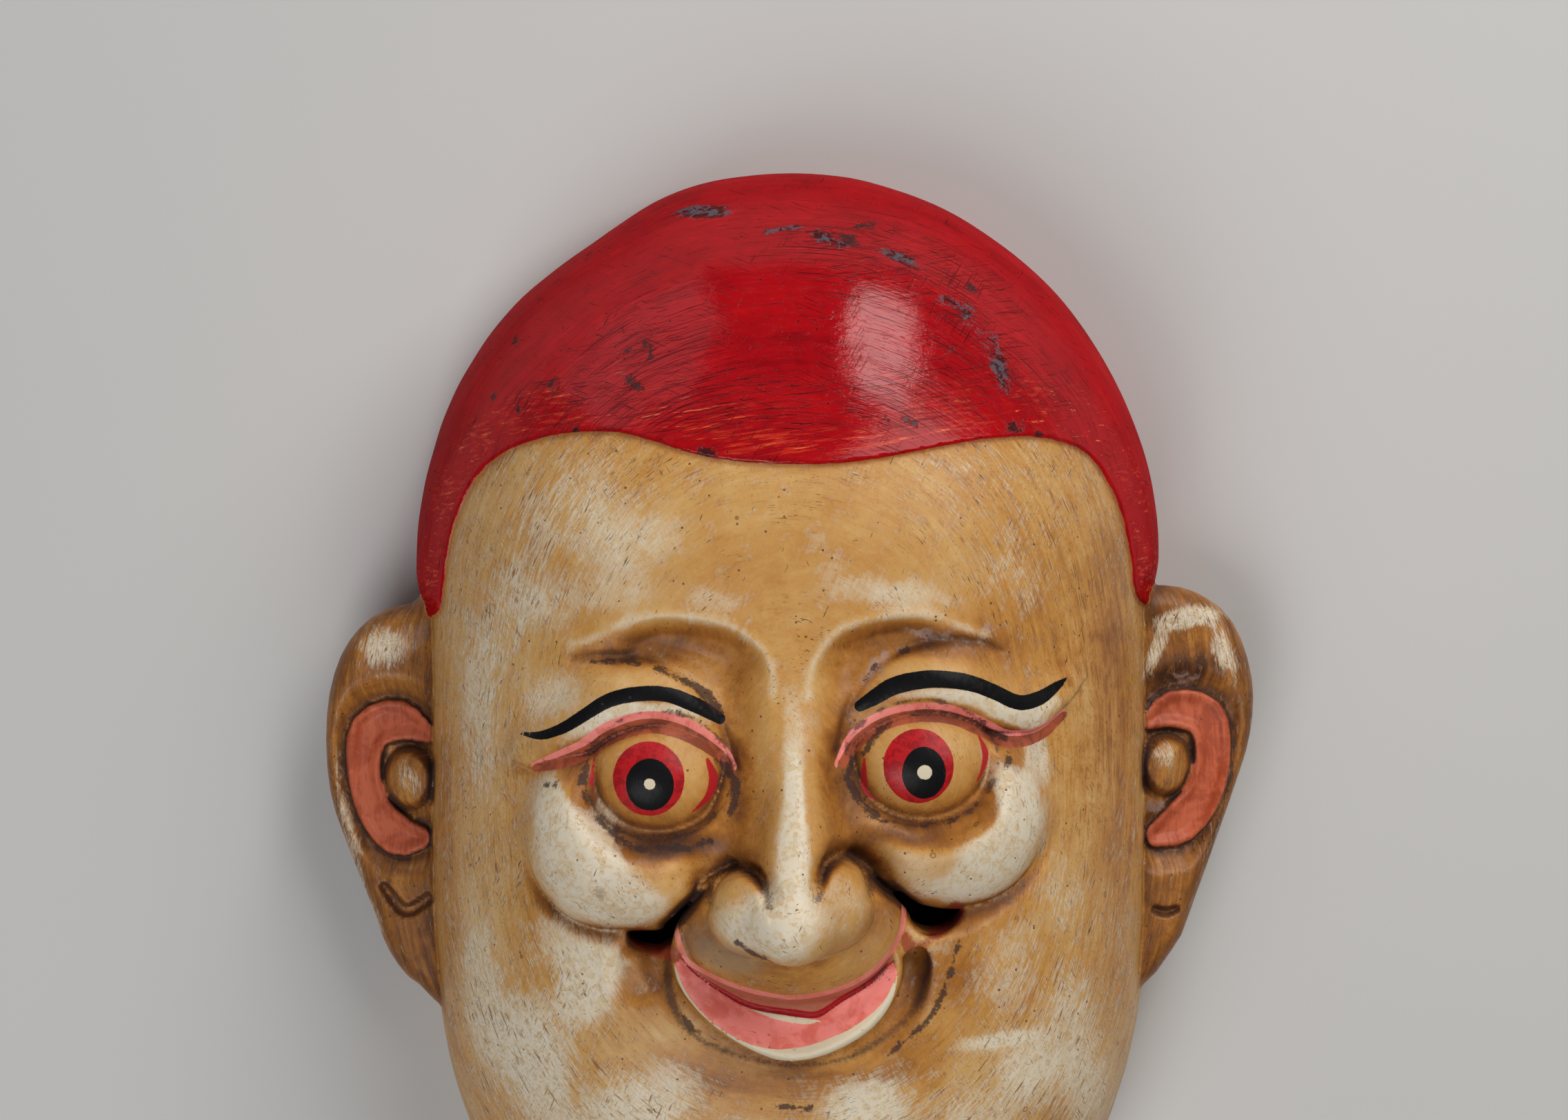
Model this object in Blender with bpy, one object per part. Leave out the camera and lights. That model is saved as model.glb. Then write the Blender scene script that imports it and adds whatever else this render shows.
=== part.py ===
"""Painted folk mask carved from one block of wood, hollow behind and lying on its back rim.

The carving is drawn in carver's units, 334.8 of them from crown to chin, as shares of the mask's height.
+X is the viewer's right, +Y the crown and +Z the way the face looks. Distances are negative inside the wood.
"""
import math

import bmesh
import bpy
import numpy as np
from mathutils import Vector

HEIGHT = 0.3348
SIDE_WALL = 0.013
FRONT_WALL = 0.022
CORNER_HOLE_RADIUS = 0.0045
EAR_THICKNESS = 0.0205
EAR_EDGE_ROUNDING = 0.005

UNIT = HEIGHT / 334.8
HEAD_TRIANGLES = 5800
EAR_TRIANGLES = 950
HOLLOW_TRIANGLES = 900

# Head block
CROWN, CHIN_END = 163.9, -167.0
HALF_WIDTH, DEPTH = 107.6, 110.0
DRAWN_DEPTH = 110.0
CROWN_START, JAW_START = 50.0, -30.0
CROWN_BEND, JAW_BEND, SECTION_BEND = 1.98, 2.8, 2.45
AXIS_SWAY, SWAY_LENGTH = 1.5, 60.0
CAP_RAISE, CAP_RAISE_BROW, CAP_EDGE_SLOPE = 3.9, 1.3, 2.0
BACK_ALLOWANCE = 8.0

# Edge of the cap: distance round the head from its middle, height
CAP_EDGE = [(-157, 36), (-115, 37.5), (-105.5, 47), (-98.5, 65), (-87, 80), (-66, 87.3), (-44, 87.8),
            (-20, 80.2), (0, 77.6), (19, 78), (50, 83.3), (70, 83.8), (87, 79), (98.5, 65), (106, 49),
            (114, 36.5), (157, 34)]

# The features are drawn on a head block of the drawn depth, and move out or in with the real one.
LIFT = DEPTH - DRAWN_DEPTH

# Each side's features: bars as places with a radius, curls as places with a depth.
SIDES = {
    "left": {
        "sign": -1,
        "socket": [(-3.8, 12), (-6.2, 25.6), (-17, 33.6), (-36.3, 36.3), (-54, 30.6), (-68, 19), (-76, -6),
                   (-64, -38), (-36, -46), (-8, -18)],
        "cheek": ((-49, -25.8, 91), (25.7, 27, 24.5)),
        "cheek_foot": ((-37.5, -38, 92), (14, 13.5, 19.5)),
        "eyeball": ((-36.6, -8.2, 96), (20.2, 17.8, 18)),
        "lid": [(-17, -3, 98, 5), (-25, 7, 100, 8), (-35, 13.5, 100.5, 10.5), (-47, 12.5, 100, 10.5),
                (-59, 5, 96.5, 8), (-72, -2, 90, 4.5)],
        "lid_line": [(-72, -7), (-64, -5.2), (-56.2, -2.2), (-48, 2.6), (-40, 4.9), (-32, 3.9), (-24, 0),
                     (-15.5, -6.8)],
        "lower_lid": [(-60.5, -7, 93.5, 4.2), (-56.5, -19.5, 97, 4.2), (-46, -28.6, 100.5, 4.2),
                      (-33, -30, 103, 4.2), (-20.5, -24.5, 104.5, 4), (-14.5, -13, 103.5, 3.7)],
        "wing": ((-13.2, -46, 118), (9.6, 10.6, 15.5)),
        "curl": [(-23, -43, 1.4), (-20, -36, 3.0), (-14.6, -34, 3.8), (-9.6, -35.8, 4.2), (-6.6, -43, 0.6)],
        "corner_hole": ((-37.4, -52.4, 108), (-37.6, -47, 64)),
        "ear": [(97, 38), (110, 39.2), (122, 35.5), (131, 25), (135.6, 8), (135.2, -14), (129.4, -32.5),
                (123.4, -48), (118.5, -61.5), (110, -71), (97, -71)],
        "crescent": [(106.5, 2.2, 0, 2.6), (115.5, 6.3, 0, 5.8), (124, 3.2, 0, 6), (126.3, -7, 0, 5),
                     (123.5, -19.5, 0, 5.2), (116.8, -27.6, 0, 5.8), (110, -28.5, 0, 3.4)],
        "tragus": (112.4, -10.9),
    },
    "right": {
        "sign": 1,
        "socket": [(5.8, 12), (9.5, 25.2), (19, 32.8), (37, 35), (53, 29.5), (70, 20), (81, 0), (70, -36),
                   (38, -44), (10, -18)],
        "cheek": ((45.8, -22, 90), (26.2, 26.8, 25)),
        "cheek_foot": ((33, -32, 91), (11, 12, 18)),
        "eyeball": ((37.0, -6.4, 96), (21.2, 17.4, 18)),
        "lid": [(15.5, -2, 98, 5), (23, 7.5, 100, 8), (33, 15, 100.5, 10.5), (45, 15.5, 100, 10.5),
                (57, 9.5, 96.5, 8.5), (68, 7, 91.5, 6), (78, 11, 85, 4)],
        "lid_line": [(79, 7.5), (74, 1.8), (68, -1.4), (61, -1.4), (53.5, 2.2), (45, 5.6), (36, 6.3),
                     (27, 4.3), (20, -0.2), (14, -6.4)],
        "lower_lid": [(62.5, -4, 92.5, 4.2), (58.5, -16.5, 96.5, 4.2), (47, -26.8, 100.5, 4.2),
                      (33, -28.4, 103, 4.2), (20.5, -22.5, 104.5, 4), (13.8, -11, 103.5, 3.7)],
        "wing": ((12.6, -44.2, 118), (9.4, 10.8, 15.5)),
        "curl": [(21.8, -42, 1.4), (19.8, -33.8, 3.0), (14.6, -31.4, 3.8), (10, -33.2, 4.2),
                 (7.4, -41, 0.6)],
        "corner_hole": ((39.3, -50.2, 108), (38.4, -45, 64)),
        "ear": [(97, 36), (109, 39), (121, 37), (131.5, 28.5), (136.8, 12), (135.8, -4), (130.8, -19),
                (124.4, -35.5), (118.2, -51), (110.8, -66.5), (97, -70)],
        "crescent": [(107, 0.8, 0, 2.6), (114.5, 4, 0, 5.4), (123.5, 1.5, 0, 6), (126, -8, 0, 5.2),
                     (122.8, -20.5, 0, 5.6), (115.8, -29.5, 0, 6), (108.5, -33, 0, 3.6)],
        "tragus": (111.6, -12.4),
    },
}
NOSE = [(-0.5, 31, 97, 5.5), (0.6, 12, 104.5, 5.2), (1.3, -6, 112.5, 5.6), (1.9, -22, 121, 6.8),
        (1.2, -37, 130, 9), (0, -48.4, 136.5, 10.9)]
NOSE_ROOT = [(0.5, 22, 89, 8), (0.8, 0, 93, 12.5), (1, -20, 99, 17), (0.5, -38, 106, 19.5)]
NOSE_BASE = ((-0.6, -46.2, 120.5), (20.2, 13.0, 18.5))
NOSE_RECESS = ((0, -38, 78), (27, 36, 26))
MUZZLE = ((0.1, -52, 95), (33.1, 23, 30))
LIP_EDGE = [(-37, -40), (-33.3, -48.5), (-28.5, -59.5), (-18.5, -66.2), (-1, -70.4), (17, -66.3),
            (26, -59.2), (31, -48.5), (34, -40)]
LOWER_LIP = [(-34.2, -57), (-31.5, -69), (-19.5, -81.5), (-1, -88.6), (18, -82.6), (28.5, -71.5), (30, -60),
             (22, -52), (0, -60), (-28, -49)]
SMILE = [(-38.6, -56, 102, 3.2), (-36.4, -66, 105, 3.4), (-30.4, -77.4, 108, 4.2), (-17.6, -87.8, 110, 5.4),
         (-1.5, -92.6, 110.5, 6.2), (14, -89.8, 109.5, 6.5), (27.4, -78.6, 106, 6.2), (32.2, -67, 102, 5.2),
         (34.6, -57, 98, 4.4)]
CHIN_BALL = ((0, -128, 70), (36, 27, 27))
EAR_MIDDLE = (114, -13)
EAR_FRONT = 35.5
HEAD_MIDDLE, HOLLOW_MIDDLE = (0, -15, 25), (0, -10, 20)


def smooth_min(a, b, blend):
    h = np.clip(0.5 + 0.5 * (b - a) / blend, 0, 1)
    return b + (a - b) * h - blend * h * (1 - h)


def smooth_max(a, b, blend):
    return -smooth_min(-a, -b, blend)


def ramp(value, low, high):
    t = np.clip((value - low) / (high - low), 0, 1)
    return t * t * (3 - 2 * t)


def bump(value, width):
    return np.exp(-(value / width)**2)


def curve(points, closed=False, steps=4):
    """A smooth curve that passes through the points."""
    p = np.array(points, float)
    start, *end = [p[-1], p[0], p[1]] if closed else [2 * p[0] - p[1], 2 * p[-1] - p[-2]]
    p = np.vstack([start, p, *end])
    t = (np.arange(steps) / steps)[:, None]
    spans = [b + 0.5 * t * (c - a + t * (2 * a - 5 * b + 4 * c - d + t * (3 * (b - c) + d - a)))
             for a, b, c, d in zip(p, p[1:], p[2:], p[3:])]
    return np.vstack([*spans, p[-2]])


def ellipsoid(x, y, z, centre, radii):
    u, v, w = ((axis - c) / r for axis, c, r in zip((x, y, z), centre, radii))
    near = np.sqrt(u * u + v * v + w * w)
    slope = np.sqrt((u / radii[0])**2 + (v / radii[1])**2 + (w / radii[2])**2)
    return near * (near - 1) / np.maximum(slope, 1e-6)


def bar(x, y, z, line):
    """A round bar along a line of points, each with its place and radius."""
    best = np.full(x.shape, 1e9)
    for a, b in zip(line[:-1], line[1:]):
        e = b[:3] - a[:3]
        u, v, w = x - a[0], y - a[1], z - a[2]
        t = np.clip((u * e[0] + v * e[1] + w * e[2]) / (e @ e), 0, 1)
        gap = np.sqrt((u - t * e[0])**2 + (v - t * e[1])**2 + (w - t * e[2])**2)
        best = np.minimum(best, gap - a[3] - (b[3] - a[3]) * t)
    return best


def beside(x, y, line):
    """Distance from a line, positive on its left, and how far along it the nearest place is, from 0 to 1."""
    best = np.full(x.shape, 1e18)
    side = np.zeros(x.shape)
    along = np.zeros(x.shape)
    for i, (a, b) in enumerate(zip(line[:-1], line[1:])):
        e = b - a
        u, v = x - a[0], y - a[1]
        t = np.clip((u * e[0] + v * e[1]) / (e @ e), 0, 1)
        u, v = u - t * e[0], v - t * e[1]
        gap = u * u + v * v
        closer = gap < best
        best = np.where(closer, gap, best)
        side = np.where(closer, e[0] * v - e[1] * u, side)
        along = np.where(closer, (i + t) / (len(line) - 1), along)
    return np.sqrt(best) * np.where(side < 0, -1.0, 1.0), along


def outline(x, y, ring):
    """Distance from a closed outline, negative inside."""
    best = np.full(x.shape, 1e18)
    inside = np.zeros(x.shape, bool)
    for a, b in zip(ring[:-1], ring[1:]):
        e = b - a
        u, v = x - a[0], y - a[1]
        t = np.clip((u * e[0] + v * e[1]) / (e @ e), 0, 1)
        best = np.minimum(best, (u - t * e[0])**2 + (v - t * e[1])**2)
        if abs(e[1]) > 1e-9:
            inside ^= ((a[1] > y) != (b[1] > y)) & (x < a[0] + e[0] * v / e[1])
    return np.sqrt(best) * np.where(inside, -1.0, 1.0)


CURVES = {"cap": curve(CAP_EDGE), "nose": curve(NOSE, steps=3), "root": curve(NOSE_ROOT, steps=2),
          "lip_edge": curve(LIP_EDGE), "lower_lip": curve(LOWER_LIP, closed=True),
          "smile": curve(SMILE, steps=3)}
for name, side in SIDES.items():
    for key, closed, steps in (("socket", True, 3), ("lid", False, 7), ("lid_line", False, 3),
                               ("lower_lid", False, 3), ("curl", False, 3), ("ear", True, 3),
                               ("crescent", False, 3)):
        CURVES[name, key] = curve(side[key], closed, steps)


def sway(y):
    return AXIS_SWAY * np.tanh(y / SWAY_LENGTH)


def egg_ratio(x, y, z, side_wall, front_wall):
    """How far out a point is, as a share of the way from the head's axis to its surface."""
    up = np.maximum(y - CROWN_START, 0) / (CROWN - side_wall - CROWN_START)
    down = np.maximum(JAW_START - y, 0) / (JAW_START - CHIN_END - side_wall)
    fullness = 1 + 0.03 * bump(y - 62, 45) - 0.03 * bump(y + 95, 40)
    across = np.abs(x - sway(y)) / (HALF_WIDTH - side_wall)
    deep = np.abs(z) / ((DEPTH - front_wall) * fullness)
    section = (across**SECTION_BEND + deep**SECTION_BEND)**(1 / SECTION_BEND)
    bend = np.where(y > 0, CROWN_BEND, JAW_BEND)
    return (section**bend + (up + down)**bend)**(1 / bend)


def egg(x, y, z, side_wall=0.0, front_wall=0.0):
    """The head block, or its hollow when walls are given."""
    steep = 1e-8
    for step in np.eye(3) * 0.5:
        ahead = egg_ratio(x + step[0], y + step[1], z + step[2], side_wall, front_wall)
        behind = egg_ratio(x - step[0], y - step[1], z - step[2], side_wall, front_wall)
        steep = steep + (ahead - behind)**2
    return (egg_ratio(x, y, z, side_wall, front_wall) - 1) / np.sqrt(steep)


def cap_side(x, y, z):
    """Distance from the edge of the cap, measured over the head and positive on the cap."""
    around = 100 * np.arctan2(x - sway(y), np.maximum(z, 0.5))
    return beside(around, y, CURVES["cap"])[0]


class Carving:
    """The wood left at a set of points, changed one feature at a time, each only where it reaches."""

    def __init__(self, x, y, z):
        self.x, self.y, self.z = x, y, z - LIFT
        self.wood = egg(x, y, z)

    def reach(self, low, high, margin=8.0):
        near = np.abs(self.wood) < 60
        for value, lo, hi in zip((self.x, self.y, self.z), low, high):
            near &= (value > lo - margin) & (value < hi + margin)
        i = np.flatnonzero(near)
        return i, self.x[i], self.y[i], self.z[i]

    def add(self, i, shape, blend):
        self.wood[i] = smooth_min(self.wood[i], shape, blend)

    def cut(self, i, shape, blend):
        self.wood[i] = smooth_max(self.wood[i], -shape, blend)

    def around(self, centre, radii, margin=8.0):
        return self.reach(np.subtract(centre, radii), np.add(centre, radii), margin)

    def along(self, line):
        thick = line[:, 3].max()
        return self.reach(line[:, :3].min(0) - thick, line[:, :3].max(0) + thick)


def crease(c, line, depths, inner, outer, sign):
    """A soft groove along a line of places and depths, with a slope of its own on either side."""
    i, x, y, z = c.reach((*line[:, :2].min(0), depths[0]), (*line[:, :2].max(0), depths[1]))
    away, along = beside(x, y, line[:, :2])
    deep = np.interp(along, np.linspace(0, 1, len(line)), line[:, 2])
    wide = np.where(away * sign > 0, outer, inner)
    c.wood[i] += deep * bump(away, wide) * ramp(z, depths[0] - 6, depths[0])


def carve_cap(c):
    """The cap's edge is a low step, from which it swells; the crown is flatter at left."""
    i, x, y, z = c.reach((-125, 20, -60), (125, 180, 140), 0)
    turn = np.abs(np.arctan2(x, np.maximum(z + LIFT, 0.5)))
    away_from_brow = ramp(np.maximum(turn / 1.05, (y - 78) / 60), 0.5, 1)
    inside = cap_side(x, y, z + LIFT)
    swell = (CAP_RAISE - CAP_RAISE_BROW) * away_from_brow * ramp(inside, -1, 15)
    c.wood[i] -= CAP_RAISE_BROW * ramp(inside, -CAP_EDGE_SLOPE, CAP_EDGE_SLOPE) + swell
    c.wood[i] += 2.6 * bump(y - 147, 18) * ramp(-x, 15, 55)


def carve_socket(c, name):
    """A hollow under the brow, crisp along its arch and soft at the nose and the temple."""
    ring = CURVES[name, "socket"]
    i, x, y, z = c.reach((*ring.min(0), 60), (*ring.max(0), 130))
    inside = -outline(x, y, ring)
    slope = 5.5 + 10 * ramp(26 - y, 0, 14) + 15 * ramp(np.abs(x), 34, 62)
    c.wood[i] += 3.8 * ramp(inside, 0, slope) + 5.2 * ramp(inside, 0, slope + 8)


def carve_smile(c):
    i, x, y, z = c.along(CURVES["smile"])
    c.cut(i, bar(x, y, z, CURVES["smile"]), 3)


def carve_cheek(c, side):
    """The surface is let down along the cheek's foot, so that the ball of the cheek overhangs it."""
    (cx, cy, cz), radii = side["cheek"]
    i, x, y, z = c.around((cx, cy, cz), radii, 14)
    beyond = (np.hypot((x - cx) / radii[0], (y - cy) / radii[1]) - 1) * radii[1]
    inner = ramp(-np.abs(x), -62, -40)
    c.wood[i] += (2.2 + 3.0 * inner) * ramp(-beyond, -5 - 4 * inner, 1) * ramp(-y, 24, 44)
    ball = smooth_min(ellipsoid(x, y, z, *side["cheek"]), ellipsoid(x, y, z, *side["cheek_foot"]), 6)
    c.add(i, ball, 0.8 + 6 * ramp(y, -42, -22))


def carve_nose(c):
    """One broad bulb, its wings set off above by curled creases."""
    i, x, y, z = c.reach((-32, -66, 70), (32, 36, 152))
    shape = smooth_min(bar(x, y, z, CURVES["nose"]), bar(x, y, z, CURVES["root"]), 10)
    shape = smooth_min(shape, ellipsoid(x, y, z, *NOSE_BASE), 9)
    for side in SIDES.values():
        shape = smooth_min(shape, ellipsoid(x, y, z, *side["wing"]), 7)
    c.add(i, shape, 1.5 + 9 * ramp(y, -34, -10))
    for name, side in SIDES.items():
        crease(c, CURVES[name, "curl"], (92, 140), 1.6, 3.2, -side["sign"])


def carve_mouth(c):
    """The upper lip overhangs from its crest; the lower lip is a scoop with a raised rim."""
    i, x, y, z = c.around(*MUZZLE)
    past_edge, along = beside(x, y, CURVES["lip_edge"])
    corner = (2 * along - 1)**2
    underside = (-past_edge - (117.5 - 17 * corner - z) * (0.48 - 0.4 * corner)) * 0.9
    c.add(i, smooth_max(ellipsoid(x, y, z, *MUZZLE), underside, 1.0), 1.0)
    ring = CURVES["lower_lip"]
    i, x, y, z = c.reach((*ring.min(0), 60), (*ring.max(0), 122))
    off = outline(x, y, ring)
    rim = 112.5 - 0.0042 * x * x - 0.01 * np.abs(x)**1.6 + (y + 88) * 0.02
    top = rim - 6 * ramp(-off, 1.4, 11)
    c.add(i, smooth_max(smooth_max(off, (z - top) * 0.9, 1.6), 70 - z, 1.0), 1.0)


def carve_eye(c, name, side):
    """A bowl with a rolled lower lid, the puffed upper lid ending in a ledge, and the eyeball."""
    (ex, ey, ez), radii = side["eyeball"]
    bowl = (ex, ey - 2.0, 117), (24.4, 21.8, 18.5)
    i, x, y, z = c.around(*bowl)
    c.cut(i, ellipsoid(x, y, z, *bowl), 5)
    line = CURVES[name, "lower_lid"]
    i, x, y, z = c.along(line)
    c.add(i, bar(x, y, z, line), 7)
    i, x, y, z = c.reach((ex - 42, ey - 22, 72), (ex + 42, ey + 36, 124))
    above = beside(x, y, CURVES[name, "lid_line"])[0] * -side["sign"]
    puff = smooth_max(bar(x, y, z, CURVES[name, "lid"]), -above, 2.2)
    c.add(i, puff, 1 + 8 * ramp(above, 2.5, 9))
    i, x, y, z = c.around((ex, ey, ez), radii)
    c.add(i, ellipsoid(x, y, z, (ex, ey, ez), radii), 0.8 + 1.4 * ramp(ey - y, 2, 12))


def carved_head(x, y, z):
    c = Carving(x, y, z)
    carve_cap(c)
    for name in SIDES:
        carve_socket(c, name)
    carve_smile(c)
    for side in SIDES.values():
        carve_cheek(c, side)
    carve_nose(c)
    carve_mouth(c)
    for name, side in SIDES.items():
        carve_eye(c, name, side)
    i, x1, y1, z1 = c.around(*CHIN_BALL, 16)
    c.add(i, ellipsoid(x1, y1, z1, *CHIN_BALL), 14)
    return np.maximum(c.wood, -z - BACK_ALLOWANCE)


def carved_hollow(x, y, z):
    """The inside: the head block less its walls, with room for the wearer's nose."""
    room = egg(x, y, z, SIDE_WALL / UNIT, FRONT_WALL / UNIT)
    room = smooth_min(room, ellipsoid(x, y, z - LIFT, *NOSE_RECESS), 10)
    return np.maximum(room, -z - BACK_ALLOWANCE)


def ear_front(name, out, y, inside):
    """Height of the ear's front: broad helix, its slope down to the crescent, tragus and lobe."""
    crescent = bar(out, y, np.zeros(out.shape), CURVES[name, "crescent"])
    tragus = SIDES[name]["tragus"]
    disc = np.hypot((out - tragus[0]) / 8.0, (y - tragus[1]) / 9.2)
    front = EAR_FRONT - 0.2 * (out - 103) + 1.6 * bump(inside - 6.0, 6.0) * ramp(y, -20, 20)
    front = front - 4.6 * ramp(8.5 - crescent, 0, 8.5) * ramp(inside, 0.5, 6.5)
    front = front + 2.2 * ramp(-crescent, -0.9, 0.5) - 1.3 * ramp(-crescent, 1.2, 4.0)
    return front + 3.6 * ramp(1 - disc, -0.06, 0.3) - 1.2 * bump((disc - 1.06) * 8, 1.1)


def ball_piece(name, ball, spots, triangles, collection):
    """An object from a ball whose points are moved, thinned out to about so many triangles."""
    mesh = bpy.data.meshes.new(name)
    for vertex, spot in zip(ball.verts, spots * UNIT):
        vertex.co = spot
    bmesh.ops.triangulate(ball, faces=ball.faces)
    ball.to_mesh(mesh)
    ball.free()
    mesh.shade_smooth()
    piece = bpy.data.objects.new(name, mesh)
    collection.objects.link(piece)
    thin = piece.modifiers.new("Thin out", "DECIMATE")
    thin.ratio = triangles / len(mesh.polygons)
    return piece


def cast_ball(name, centre, surface, detail, triangles, collection):
    """A ball whose skin is moved along its own rays, from outside, until it meets a carved surface."""
    ball = bmesh.new()
    bmesh.ops.create_icosphere(ball, subdivisions=detail, radius=1.0)
    rays = np.array([vertex.co.normalized() for vertex in ball.verts])
    far = np.full(len(rays), 220.0)
    moving = np.arange(len(rays))
    for _ in range(80):
        spots = np.array(centre) + rays[moving] * far[moving, None]
        gap = surface(*spots.T)
        far[moving] -= 0.7 * gap
        moving = moving[np.abs(gap) > 0.02]
    return ball_piece(name, ball, np.array(centre) + rays * far[:, None], triangles, collection)


def ear_piece(name, side, collection):
    """A flattened ball spread out to the ear's outline, with the carving on its front."""
    ball = bmesh.new()
    bmesh.ops.create_uvsphere(ball, u_segments=132, v_segments=84, radius=1.0)
    a, b, up = np.array([vertex.co for vertex in ball.verts]).T
    turn = np.arctan2(b, a)
    share = np.arccos(np.clip(np.abs(up), 0, 1)) / (math.pi / 2)
    ring = CURVES[name, "ear"]
    edge = np.full(turn.shape, 90.0)
    for _ in range(60):
        edge -= 0.6 * outline(EAR_MIDDLE[0] + edge * np.cos(turn), EAR_MIDDLE[1] + edge * np.sin(turn), ring)
    out = EAR_MIDDLE[0] + edge * share * np.cos(turn)
    y = EAR_MIDDLE[1] + edge * share * np.sin(turn)
    rounding = EAR_EDGE_ROUNDING / UNIT
    into_edge = np.clip(1 - edge * (1 - share) / rounding, 0, 1)
    front = ear_front(name, out, y, edge * (1 - share))
    back = EAR_FRONT - EAR_THICKNESS / UNIT
    half = 0.5 * (front - back) * np.sqrt(1 - into_edge**2)
    z = 0.5 * (front + back) + np.where(up > 0, half, -half)
    spots = np.column_stack([out * side["sign"], y, z])
    if side["sign"] < 0:
        bmesh.ops.reverse_faces(ball, faces=ball.faces)
    return ball_piece("ear_" + name, ball, spots, EAR_TRIANGLES, collection)


def corner_drill(name, side, collection):
    """A round bar through the corner of the mouth, from the cheek's foot into the hollow."""
    front, back = ((Vector(end) + Vector((0, 0, LIFT))) * UNIT for end in side["corner_hole"])
    drill = bmesh.new()
    bmesh.ops.create_cone(drill, cap_ends=True, segments=20, depth=(front - back).length,
                          radius1=CORNER_HOLE_RADIUS, radius2=CORNER_HOLE_RADIUS)
    mesh = bpy.data.meshes.new("corner_" + name)
    drill.to_mesh(mesh)
    drill.free()
    piece = bpy.data.objects.new("corner_" + name, mesh)
    collection.objects.link(piece)
    piece.location = (front + back) / 2
    piece.rotation_mode = "QUATERNION"
    piece.rotation_quaternion = (front - back).to_track_quat("Z", "Y")
    return piece


def bench_block(collection):
    """What lies below the rim and is sawn off flat."""
    block = bmesh.new()
    bmesh.ops.create_cube(block, size=2 * HEIGHT)
    mesh = bpy.data.meshes.new("bench")
    block.to_mesh(mesh)
    block.free()
    piece = bpy.data.objects.new("bench", mesh)
    collection.objects.link(piece)
    piece.location = (0, 0, -HEIGHT)
    return piece


def boolean(piece, other, operation):
    step = piece.modifiers.new(other.name, "BOOLEAN")
    step.operation = operation
    step.solver = "EXACT"
    step.object = other
    other.hide_render = True
    other.display_type = "WIRE"


def painted_wood():
    material = bpy.data.materials.new("painted_wood")
    material.use_nodes = True
    shader = material.node_tree.nodes["Principled BSDF"]
    shader.inputs["Base Color"].default_value = (0.60, 0.40, 0.20, 1.0)
    shader.inputs["Roughness"].default_value = 0.4
    shader.inputs["Metallic"].default_value = 0.0
    return material


def new_collection(name):
    collection = bpy.data.collections.new(name)
    bpy.context.scene.collection.children.link(collection)
    return collection


def stand_on_origin(place, piece):
    """Moves the place that carries everything until the piece's box stands centred on the origin."""
    bpy.context.view_layer.update()
    finished = piece.evaluated_get(bpy.context.evaluated_depsgraph_get())
    corners = [Vector(corner) for corner in finished.bound_box]
    low = [min(corner[k] for corner in corners) for k in range(3)]
    high = [max(corner[k] for corner in corners) for k in range(3)]
    place.location = (-(low[0] + high[0]) / 2, -(low[1] + high[1]) / 2, -low[2])


def main():
    for thing in list(bpy.data.objects):
        bpy.data.objects.remove(thing)
    wood = new_collection("wooden_mask")
    tools = new_collection("carving_tools")
    mask = cast_ball("mask", HEAD_MIDDLE, carved_head, 8, HEAD_TRIANGLES, wood)
    mask.data.materials.append(painted_wood())
    others = []
    for name, side in SIDES.items():
        others.append((ear_piece(name, side, tools), "UNION"))
    hollow = cast_ball("hollow", HOLLOW_MIDDLE, carved_hollow, 7, HOLLOW_TRIANGLES, tools)
    others.append((hollow, "DIFFERENCE"))
    for name, side in SIDES.items():
        others.append((corner_drill(name, side, tools), "DIFFERENCE"))
    others.append((bench_block(tools), "DIFFERENCE"))
    for other, operation in others:
        boolean(mask, other, operation)
    place = bpy.data.objects.new("resting_place", None)
    bpy.context.scene.collection.objects.link(place)
    for piece in [mask] + [other for other, _ in others]:
        piece.parent = place
    stand_on_origin(place, mask)


main()
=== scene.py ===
"""Painted wooden folk mask lying on a pale floor: the whole carving with its relief, paint and wear.

Lengths inside the carving are in millimetres: +X is the viewer's right, +Y the crown and +Z the way the face
looks. Distances are negative inside the wood.
"""
import itertools
import math

import bpy
import numpy as np
from mathutils import Matrix, Vector


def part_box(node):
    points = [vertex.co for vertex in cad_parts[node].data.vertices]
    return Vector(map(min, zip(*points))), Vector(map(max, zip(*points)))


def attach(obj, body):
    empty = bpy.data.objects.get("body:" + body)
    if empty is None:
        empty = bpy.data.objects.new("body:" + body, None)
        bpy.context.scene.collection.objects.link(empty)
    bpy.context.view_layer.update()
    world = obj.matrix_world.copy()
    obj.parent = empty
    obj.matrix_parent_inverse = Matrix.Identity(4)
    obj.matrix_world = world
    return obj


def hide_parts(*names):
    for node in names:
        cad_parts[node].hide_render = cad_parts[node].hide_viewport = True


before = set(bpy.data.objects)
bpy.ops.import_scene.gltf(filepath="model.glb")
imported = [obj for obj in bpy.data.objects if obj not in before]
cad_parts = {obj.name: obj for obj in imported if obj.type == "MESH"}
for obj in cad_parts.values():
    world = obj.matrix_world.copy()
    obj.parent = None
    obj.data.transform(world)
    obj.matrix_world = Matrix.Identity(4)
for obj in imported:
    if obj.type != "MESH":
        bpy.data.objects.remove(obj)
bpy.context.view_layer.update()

VOXEL = 0.9
MASK_TRIANGLES = 196000
LOW, HIGH = np.array([-146.0, -176.0, -6.0]), np.array([146.0, 176.0, 156.0])

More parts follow.
